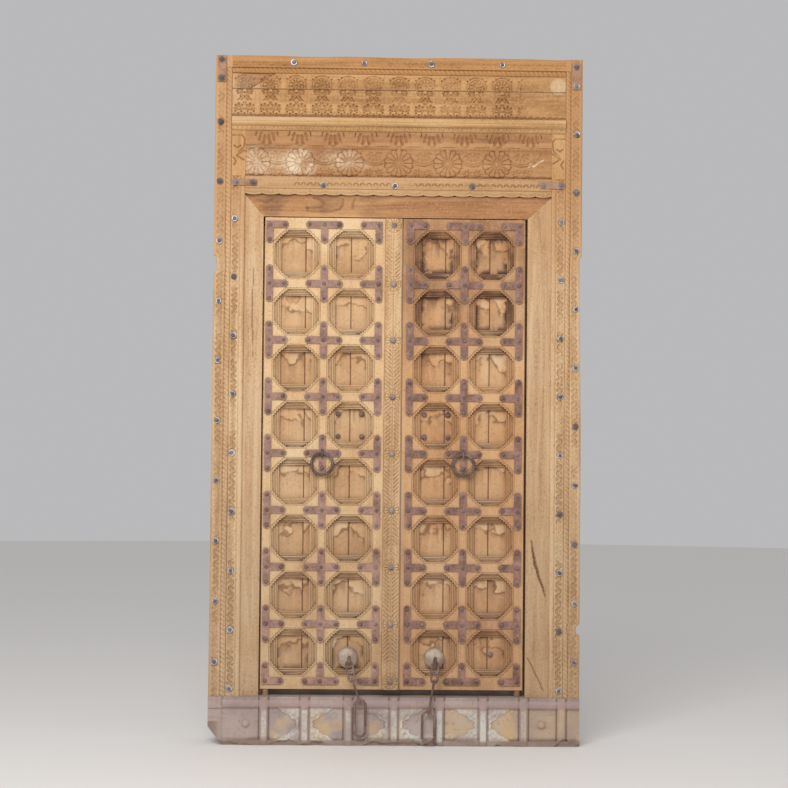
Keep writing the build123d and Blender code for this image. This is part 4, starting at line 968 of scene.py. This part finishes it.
def leaf_planks(side, seed, finish):
    """Three boards whose faces lie lower where the old surface has torn off, along an edge bent by noise."""
    low, high = span(f"{side}_leaf_planks")
    across, up = windows(leaf_columns[side], window_side), windows(leaf_rows, window_end)
    edges = (low[0], *plank_joints[side], high[0])
    shells, marks = [], {"hollow": [], "rust": [], "stain": [], "wash": []}
    for number, (left, right) in enumerate(zip(edges, edges[1:])):
        columns = drawn_lines(left, right, across, plank_step)
        x, z = np.meshgrid(columns, drawn_lines(low[2], high[2], up, plank_step))
        over, rise = nearest(x, across), nearest(z, up)
        torn = 0.85 * rise + 0.35 * np.abs(over) - 0.7 + 1.9 * (clouds(x, z, 42, seed + number) - 0.5)
        old = ease(torn, -0.05, 0.05)
        grain = mottle(x, z * 0.08, 7, seed + 11)
        height = -plank_peel * (1 - old) - 0.9 * clouds(x, z, 36, seed + 5) - 0.5 * grain
        to_joint = np.minimum(x - left, right - x)
        height = height - 2.2 * ease(3.0 - to_joint, 0, 2.5) - 0.8 * ridge(torn, 0.06)
        high_up = ease(z, 1120, 1420) if side == "right" else ease(330 - z, 0, 60) * 0.6
        border = ease(np.maximum(np.abs(over), np.abs(rise)), 0.6, 1.0)
        cloudy = 0.25 * ease(clouds(x, z * 0.5, 40, seed + 8), 0.4, 0.7)
        soaked = 0.95 * border * ease(clouds(x, z, 24, seed + 17), 0.36, 0.6)
        drip = ease(mottle(x, z * 0.12, 9, seed + 9), 0.62, 0.8) * ease(rise, -0.8, 0.9) * 0.5
        # Painted shadow: a dark fringe just under the torn edge of the raised old surface and a darker band
        # below it. The joints are dark lines, and the boards are a little darker near the window edges.
        torn_edge_shadow = ridge(torn + 0.08, 0.1) * ease(clouds(x, z, 26, seed + 16), 0.3, 0.5)
        below = (1 - old) * ease(torn, -0.6, -0.03) * ease(clouds(x, z * 0.4, 22, seed + 14), 0.3, 0.6)
        darkening = 0.9 * ease(2.8 - to_joint, 0, 2) + 0.85 * torn_edge_shadow + 0.4 * below + 0.16 * border
        reddened = 0.32 * (1 - old) * clouds(x, z, 50, seed + 12)
        head_rust = 0.5 * ease(rise, 0.72, 0.95) * ease(clouds(x, z, 30, seed + 13), 0.4, 0.6)
        stain = high_up * (cloudy + soaked) + 0.7 * drip * (1 - old) + 0.8 * ease(1.8 - to_joint, 0, 1.5)
        marks["hollow"].append(np.clip(darkening, 0, 1))
        marks["rust"].append(reddened + head_rust)
        marks["stain"].append(np.clip(stain, 0, 1))
        marks["wash"].append(0.4 * ease(clouds(x, z, 55, seed + 15), 0.5, 0.66) * old)
        shell = board_shell(x, z, height, low[1], high[1])
        for mark in marks.values():
            mark[-1] = np.append(mark[-1], 0.0)[shell[3]]
        shells.append(shell)
    marks = {mark: np.concatenate(fields) for mark, fields in marks.items()}
    piece = make_piece(f"{side}_leaf_boards", shells, finish, marks)
    fit(piece, f"{side}_leaf", f"{side}_plank_wood", f"{side}_leaf_planks")
    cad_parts[f"{side}_leaf_ledges"].data.materials[0] = back_wood


leaf_planks("left", 140, wood("left_plank_wood", 2, *plank_tones["left"], grey=0.04, grain=0.4))
leaf_planks("right", 160, wood("right_plank_wood", 2, *plank_tones["right"], grey=0.03, grain=0.4))


# Lattice of the leaves: stiles and rails lie flush, and round every window a narrow rim and four steps go
# down to the planks. They end slantwise at the corners in small stairs, so the opening is eight-sided.
stile_flat, rail_flat, corner_reach, corner_gap, corner_slope = 10.25, 13.5, 68.4, 2.5, 1.3
step_count, step_drops = 5, np.array([0, 1.0, 4.2, 7.2, 10.6, 14.5])
pin_radius, pin_sides, pin_shifts = 10.0, 20, {"left": 6.3, "right": 2.3}
leaf_tones = {"left": ((178, 134, 90), (218, 178, 130), (238, 206, 160)),
              "right": ((162, 112, 70), (206, 156, 108), (226, 184, 136))}
# How much the niches under the rails are darkened on each leaf: painted shade of the rail above.
under_rail_shade = {"left": 0.2, "right": 0.34}


def stair_lines(low, high, places, edges, last, between):
    """Grid lines with a close pair at every step's edge, one line at the window's edge and some between."""
    offsets = np.concatenate([np.ravel([(e - 0.3, e + 0.3) for e in edges]), [last], between])
    found = np.concatenate([[low, high]] + [place + way * offsets for place in places for way in (-1, 1)])
    inside = np.concatenate([[True, True], (found[2:] > low + 0.5) & (found[2:] < high - 0.5)])
    return np.unique(np.round(found[inside], 2))


def step_level(along, across, flat, last, corner):
    """Step number at a distance from a stile or rail, 0 on the flat, 1 on the rim, and its stair's edges."""
    width = (last - flat) / step_count
    level = np.clip(np.ceil((across - flat) / width), 0, step_count) * (across < last + 0.01)
    outer = along - corner_reach + flat + width * level
    inner = along - corner - corner_gap - corner_slope * (last - flat - width * level)
    level = np.where(inner < 0, np.minimum(level, 1), level) * (outer >= 0)
    return level, ease(1.0 - np.where(inner < 0, outer, inner), 0, 0.5) * (level > 0)


def pierced_shell(xs, zs, height, holes_x, holes_z, front, back):
    """Closed board with square windows: a skin over the grid, one wall per straight edge and a plain back."""
    x, z = np.meshgrid(xs, zs)
    index = np.arange(x.size).reshape(x.shape)
    places_x = [[int(np.argmin(np.abs(xs - edge))) for edge in hole] for hole in holes_x]
    places_z = [[int(np.argmin(np.abs(zs - edge))) for edge in hole] for hole in holes_z]
    solid = np.ones((len(zs) - 1, len(xs) - 1), bool)
    coarse_x, coarse_z = [0, *sum(places_x, []), len(xs) - 1], [0, *sum(places_z, []), len(zs) - 1]
    base = x.size + np.arange(len(coarse_x) * len(coarse_z)).reshape(len(coarse_z), len(coarse_x))
    walls = [np.r_[index[0, ::-1], base[0]], np.r_[index[-1], base[-1, ::-1]],
             np.r_[index[:, 0], base[::-1, 0]], np.r_[index[::-1, -1], base[:, -1]]]
    for m, (i, j) in enumerate(places_x):
        for n, (k, l) in enumerate(places_z):
            solid[k:l, i:j] = False
            corner = base[2 * n + 1:2 * n + 3, 2 * m + 1:2 * m + 3]
            walls += [np.r_[index[k, i:j + 1], corner[0, ::-1]], np.r_[index[l, i:j + 1][::-1], corner[1]],
                      np.r_[index[k:l + 1, i][::-1], corner[:, 0]], np.r_[index[k:l + 1, j], corner[::-1, 1]]]
    quads = np.stack([index[:-1, :-1], index[:-1, 1:], index[1:, 1:], index[1:, :-1]], -1)[solid]
    kept = np.ones((len(coarse_z) - 1, len(coarse_x) - 1), bool)
    kept[1::2, 1::2] = False
    behind = np.stack([base[:-1, :-1], base[1:, :-1], base[1:, 1:], base[:-1, 1:]], -1)[kept]
    back_x, back_z = np.meshgrid(xs[coarse_x], zs[coarse_z])
    skin = np.stack([x, front - height, z], -1).reshape(-1, 3)
    rear = np.stack([back_x, np.full_like(back_x, back), back_z], -1).reshape(-1, 3)
    points, quads = np.vstack([skin, rear]), np.vstack([quads, behind])
    used = np.zeros(len(points), bool)
    used[quads] = True
    fresh = np.cumsum(used) - 1
    return points[used], fresh[quads], [fresh[wall] for wall in walls], np.flatnonzero(used)


def leaf_lattice(side, seed, finish):
    """Pierced board that drops by its step number round each window, and the two pins that it turns on."""
    low, high = span(f"{side}_leaf_stiles")
    foot, top = span(f"{side}_leaf_rails")[0][2], span(f"{side}_leaf_rails")[1][2]
    stile_edges = stile_flat + (window_side - stile_flat) / step_count * np.arange(step_count)
    rail_edges = rail_flat + (window_end - rail_flat) / step_count * np.arange(step_count)
    stile_width, rail_width = stile_edges[1] - stile_edges[0], rail_edges[1] - rail_edges[0]
    stair_x, stair_z = corner_reach - rail_edges - rail_width, corner_reach - stile_edges - stile_width
    inner_x = window_side + corner_gap + corner_slope * (window_end - rail_edges - rail_width)[1:]
    inner_z = window_end + corner_gap + corner_slope * (window_side - stile_edges - stile_width)[1:]
    edges_x, edges_z = np.r_[stile_edges, stair_x, inner_x], np.r_[rail_edges, stair_z, inner_z]
    columns = np.array(leaf_columns[side])
    xs = stair_lines(low[0], high[0], columns, edges_x, window_side, [0, 5, 74])
    zs = stair_lines(foot, top, leaf_rows, edges_z, window_end, [0, 6, 76, 90])
    x, z = np.meshgrid(xs, zs)
    to_stile = np.min(np.abs(x[..., None] - columns), -1)
    to_rail = np.min(np.abs(z[..., None] - leaf_rows), -1)
    inside = (x > columns[0]) & (x < columns[-1]) & (z > leaf_rows[0]) & (z < leaf_rows[-1])
    at_stiles = step_level(to_rail, to_stile, stile_flat, window_side, window_end)
    at_rails = step_level(to_stile, to_rail, rail_flat, window_end, window_side)
    by_stile, stile_stair, by_rail, rail_stair = (field * inside for field in (*at_stiles, *at_rails))
    level = np.maximum(by_stile, by_rail).astype(int)
    from_stile, from_rail = (to_stile - stile_flat) / stile_width, (to_rail - rail_flat) / rail_width
    start = np.where(by_stile > 0, from_stile, from_rail) % 1
    quirk = np.maximum(ease(0.3 - start, 0, 0.2) * (level > 0), np.maximum(stile_stair, rail_stair))
    height = -step_drops[level] - 1.0 * quirk - 0.9 * clouds(x, z, 60, seed) - 0.5 * mottle(x, z, 9, seed + 4)
    under = (by_rail > 0) & (z < leaf_rows[np.argmin(np.abs(z[..., None] - leaf_rows), -1)])
    over = (by_rail > 0) & ~under
    holes = windows(leaf_columns[side], window_side), windows(leaf_rows, window_end)
    shell = pierced_shell(xs, zs, height, *holes, low[1], high[1])
    upper = ease(z, 1150, 1450) if side == "right" else 0.25 * ease(420 - z, 0, 200)
    patchy = ease(clouds(x, z, 70, seed + 9), 0.36, 0.6)
    niche = level > 1
    cloudy = 0.3 * ease(clouds(x, z, 60, seed + 7), 0.4, 0.7)
    soaked = 0.6 * niche * ease(clouds(x, z, 34, seed + 13), 0.38, 0.6)
    # Painted shade with dirt: dark lines along the step and stair edges, the niches a little darker, and
    # under the rails darker and redder with depth where the rail above shades them.
    darkening = 0.66 * quirk + niche * (0.1 + under_rail_shade[side] * under * (0.4 + 0.6 * patchy))
    fields = {"hollow": np.clip(darkening, 0, 1),
              "rust": 0.1 * level * under * patchy + 0.3 * upper * (side == "right"),
              "wash": 0.12 * level * over * patchy,
              "stain": upper * (cloudy + soaked) + 0.7 * quirk * niche * over * patchy + 0.25 * quirk * niche}
    nails = span(f"{side}_leaf_strap_nails")
    pin_x = nails[0][0] + pin_shifts[side] if side == "left" else nails[1][0] - pin_shifts[side]
    middle = np.array([pin_x, (low[1] + high[1]) / 2])
    turn = np.linspace(0, 2 * math.pi, pin_sides, endpoint=False)
    ring = middle + pin_radius * np.stack([np.cos(turn), np.sin(turn)], -1)
    pins = []
    for start, end in ((low[2], foot), (top, high[2])):
        starts, ends = np.full(pin_sides, start), np.full(pin_sides, end)
        points, quads, caps = sweep_shell(ring, starts, ends, 2, [0, 1, 2])
        pins.append((points.reshape(-1, 3), quads, caps))
    spare = np.zeros(2 * 2 * pin_sides + len(shell[3]))
    marks = {mark: np.concatenate([np.append(field.ravel(), spare)[shell[3]],
                                   np.full(4 * pin_sides, 0.6 * (mark == "stain"))])
             for mark, field in fields.items()}
    piece = make_piece(f"{side}_leaf_lattice", [shell[:3], *pins], finish, marks, 30)
    fit(piece, f"{side}_leaf", f"{side}_leaf_wood", f"{side}_leaf_stiles", f"{side}_leaf_rails")


leaf_lattice("left", 180, wood("left_leaf_wood", 2, *leaf_tones["left"], grey=0.1, grain=0.45))
leaf_lattice("right", 190, wood("right_leaf_wood", 2, *leaf_tones["right"], grey=0.06, grain=0.45))


# Iron on the leaves: straps in crosses, tees and corners over the lattice, each fixed by small domed nails,
# and a few large nails driven into the planks of some windows.
small_head = [(7.2, 0), (7.0, 1.6), (5.6, 3.4), (3.0, 4.5), (1.0, 4.9)]
large_head = [(9.5, 0), (9.3, 2.4), (7.6, 5.6), (4.4, 8.0), (1.4, 8.8)]


def leaf_iron(side, straps):
    """Finish of the straps, and domed heads of two sizes at the places of the leaf's nails."""
    for kind in ("cross", "edge", "corner"):
        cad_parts[f"{side}_leaf_{kind}_straps"].data.materials[0] = straps
    for kind, profile, sides, seed in (("strap", small_head, 8, 200), ("window", large_head, 10, 210)):
        places, feet = nail_places(f"{side}_leaf_{kind}_nails")
        shell = heads_shell(places, feet, profile, sides, seed)
        rim = np.zeros((len(places), len(profile), sides))
        rim[:, :2] = 0.55 * (np.random.default_rng(seed + 1).random(len(places)) < 0.45)[:, None, None]
        piece = make_piece(f"{side}_leaf_{kind}_heads", [shell], small_iron, {"rim": rim.ravel()}, 50)
        fit(piece, f"{side}_leaf", "nail_iron", f"{side}_leaf_{kind}_nails")


small_iron = iron("small_nail_iron", (96, 70, 60), (126, 96, 84), (158, 128, 116), 0.1)
leaf_iron("left", iron("strap_iron", (126, 94, 82), (158, 122, 108), (184, 146, 130), 0.05))
leaf_iron("right", iron("dark_strap_iron", (108, 76, 64), (142, 106, 92), (172, 132, 116), 0.05))


# Astragal: the cover strip on the left leaf, cut with leaf strokes that slant away from a line of punched
# dots and turn over at each of nine nails, which sit in small flowers.
astragal_step, stroke_pitch, stroke_depth = 1.9, 13.2, 3.0
flower_radius, flower_petals, astragal_lap = 24.0, 12, 0.9
astragal_head = [(9.2, 0), (9.0, 4.4), (7.2, 7.6), (4.2, 9.8), (1.4, 10.6)]


def astragal_strip():
    """Crowned strip less slanting strokes, a row of dots and a ring of petals round each nail."""
    low, high = span("astragal")
    places, feet = nail_places("astragal_nails")
    columns = lines(low[0], high[0] + astragal_lap, astragal_step)
    x, z = np.meshgrid(columns, lines(low[2], high[2], astragal_step))
    middle = np.interp(z, *places[np.argsort(places[:, 2])][:, [2, 0]].T)
    across, half = x - middle, (high[0] - low[0]) / 2
    nails = np.sort(places[:, 2])
    section = np.searchsorted(nails, z)
    way = np.where(section % 2, 1, -1)
    to_nail = np.min(np.hypot(across[..., None], z[..., None] - nails), -1)
    turn = np.arctan2(z - nails[np.argmin(np.abs(z[..., None] - nails), -1)], across)
    wander = 3.0 * (mottle(z * 0, z, 40, 230) - 0.5)
    phase = (z + way * 0.95 * np.abs(across) + wander) / stroke_pitch
    stroke = ridge((phase % 1 - 0.5) * stroke_pitch, 3.8)
    stroke = stroke * ease(np.abs(across), 4, 6) * ease(half - 5 - np.abs(across), -1, 2)
    wear = 0.45 + 0.55 * ease(clouds(x, z, 60, 231), 0.3, 0.5)
    dots = ridge(np.hypot(across, (z / 7.0 % 1 - 0.5) * 7.0), 2.5)
    petals = ridge(np.sin(flower_petals / 2 * turn) * to_nail / (flower_petals / 2), 1.5) * (to_nail > 9)
    ring = ridge(to_nail - flower_radius, 1.8)
    inside = to_nail < flower_radius
    cut = np.where(inside, 0.9 * petals, stroke * wear + 0.9 * dots * (to_nail > flower_radius + 3))
    crown = 2.6 * (np.abs(across) / half) ** 2
    height = -stroke_depth * np.maximum(cut, ring * 0.8) - crown - 1.2 * ridge(np.abs(across) - half + 5, 1.4)
    # Painted shade: the strip's edges drop away and are darkened into a dark line along the gaps beside the
    # leaves.
    edge = ease(np.abs(x - (low[0] + high[0]) / 2), half - 3, half)
    height = height - 0.8 * clouds(x, z, 26, 232) - 3.5 * edge
    marks = {"hollow": np.maximum(hollows(height, 3, 3.0), 0.8 * edge),
             "stain": 0.3 * ease(420 - z, 0, 200) * clouds(x, z, 30, 234)}
    material = wood("astragal_wood", 2, (164, 118, 74), (206, 166, 120), (228, 192, 148), 0.12)
    piece = carve("astragal_strip", x, z, height, low[1], high[1], material, marks)
    fit(piece, "left_leaf", "astragal_wood", "astragal")
    shell = heads_shell(places, feet + 2.5, astragal_head, 10, 220)
    rim = np.full(len(shell[0]), 0.25)
    piece = make_piece("astragal_nail_heads", [shell], small_iron, {"rim": rim}, 50)
    fit(piece, "left_leaf", "nail_iron", "astragal_nails")


astragal_strip()


# Rings and chains: a ring pull in a staple on each leaf, and near the foot a pale turned boss from which a
# twisted link, a rod and a long hasp loop hang. All of it is forged iron but the bosses, which are wood.
def boss_finish():
    """Bleached wood end: pale, with fine cracks and brown dirt in patches."""
    material, place = surface("boss_wood")
    cloud, speck = place.noise(26, 4), place.noise(160, 4)
    colour = cloud.between(0.35, 0.65).over(tint(160, 138, 120), tint(196, 178, 160))
    colour = (speck.between(0.56, 0.7) * 0.5).over(colour, tint(120, 92, 74))
    place.finish(colour, speck * 0.2 + 0.7, cloud * 0.6 + speck * 0.6, 0.0012)
    return material


boss_wood = boss_finish()
ring_iron = iron("ring_iron", (84, 66, 60), (118, 98, 92), (158, 142, 138), 0.45)
chain_iron = iron("chain_iron", (98, 72, 62), (132, 104, 94), (164, 140, 130), 0.35)
hanging_finishes = {"ring": ring_iron, "ring_staple": ring_iron, "chain_boss": boss_wood,
                    "chain_staple": chain_iron, "chain_link": chain_iron, "chain_rod": chain_iron,
                    "chain_loop": chain_iron}
for side in ("left", "right"):
    for kind, material in hanging_finishes.items():
        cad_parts[f"{side}_{kind}"].data.materials[0] = material


# Stage: a wide, pale, plain floor under the door, a flat disc. The even sky is the background on every side.
# It isn't part of the door.
stage_radius, stage_sides = 14000.0, 96


def stage_floor():
    """Flat disc at the height of the threshold's underside: one face round a circle of points."""
    turn = np.linspace(0, 2 * math.pi, stage_sides, endpoint=False)
    points = stage_radius * np.stack([np.cos(turn), np.sin(turn), np.zeros(stage_sides)], -1)
    material = surface("stage")[0]
    shader = material.node_tree.nodes["Principled BSDF"]
    shader.inputs["Base Color"].default_value = tint(240, 237, 233)
    shader.inputs["Roughness"].default_value = 0.9
    disc = points, np.zeros((0, 4), int), [np.arange(stage_sides)]
    make_piece("stage_floor", [disc], material)


stage_floor()


# Light and camera: one large soft lamp high at the left and in front, an even pale sky for the rest.
# The camera stands where the photograph was taken, about six metres away, turned and tilted a little.
camera_place, camera_lens = (-0.134, -6.0, 0.917), 84.9
camera_turn, camera_lift, camera_roll = (math.radians(angle) for angle in (1.208, 1.929, 0.531))


def lamp(name, place, aim, size, power):
    """Square area lamp at a place, turned to face its aim."""
    light = bpy.data.lights.new(name, "AREA")
    light.energy, light.size = power, size
    made = bpy.data.objects.new(name, light)
    made.location = place
    made.rotation_euler = (Vector(aim) - Vector(place)).to_track_quat("-Z", "Y").to_euler()
    bpy.context.scene.collection.objects.link(made)


def sky():
    """Even pale light from every side."""
    world = bpy.data.worlds.new("sky")
    world.use_nodes = True
    fill = world.node_tree.nodes["Background"]
    fill.inputs["Color"].default_value = tint(236, 236, 238)
    fill.inputs["Strength"].default_value = 0.58
    bpy.context.scene.world = world


def camera():
    """Camera turned about the upright, lifted, then rolled about its own line of sight."""
    level = math.cos(camera_lift)
    ahead = Vector((math.sin(camera_turn) * level, math.cos(camera_turn) * level, math.sin(camera_lift)))
    flat = Vector((math.cos(camera_turn), -math.sin(camera_turn), 0))
    rise = flat.cross(ahead)
    right = flat * math.cos(camera_roll) + rise * math.sin(camera_roll)
    up = rise * math.cos(camera_roll) - flat * math.sin(camera_roll)
    lens = bpy.data.cameras.new("camera")
    lens.lens, lens.sensor_width, lens.sensor_fit = camera_lens, 36.0, "HORIZONTAL"
    made = bpy.data.objects.new("camera", lens)
    columns = Matrix((right, up, -ahead)).transposed().to_4x4()
    made.matrix_world = Matrix.Translation(camera_place) @ columns
    bpy.context.scene.collection.objects.link(made)
    bpy.context.scene.camera = made


lamp("key", (-1.0, -4.2, 3.5), (0, 0, 1.2), 2.4, 148)
sky()
camera()
bpy.context.scene.view_settings.view_transform = "Standard"
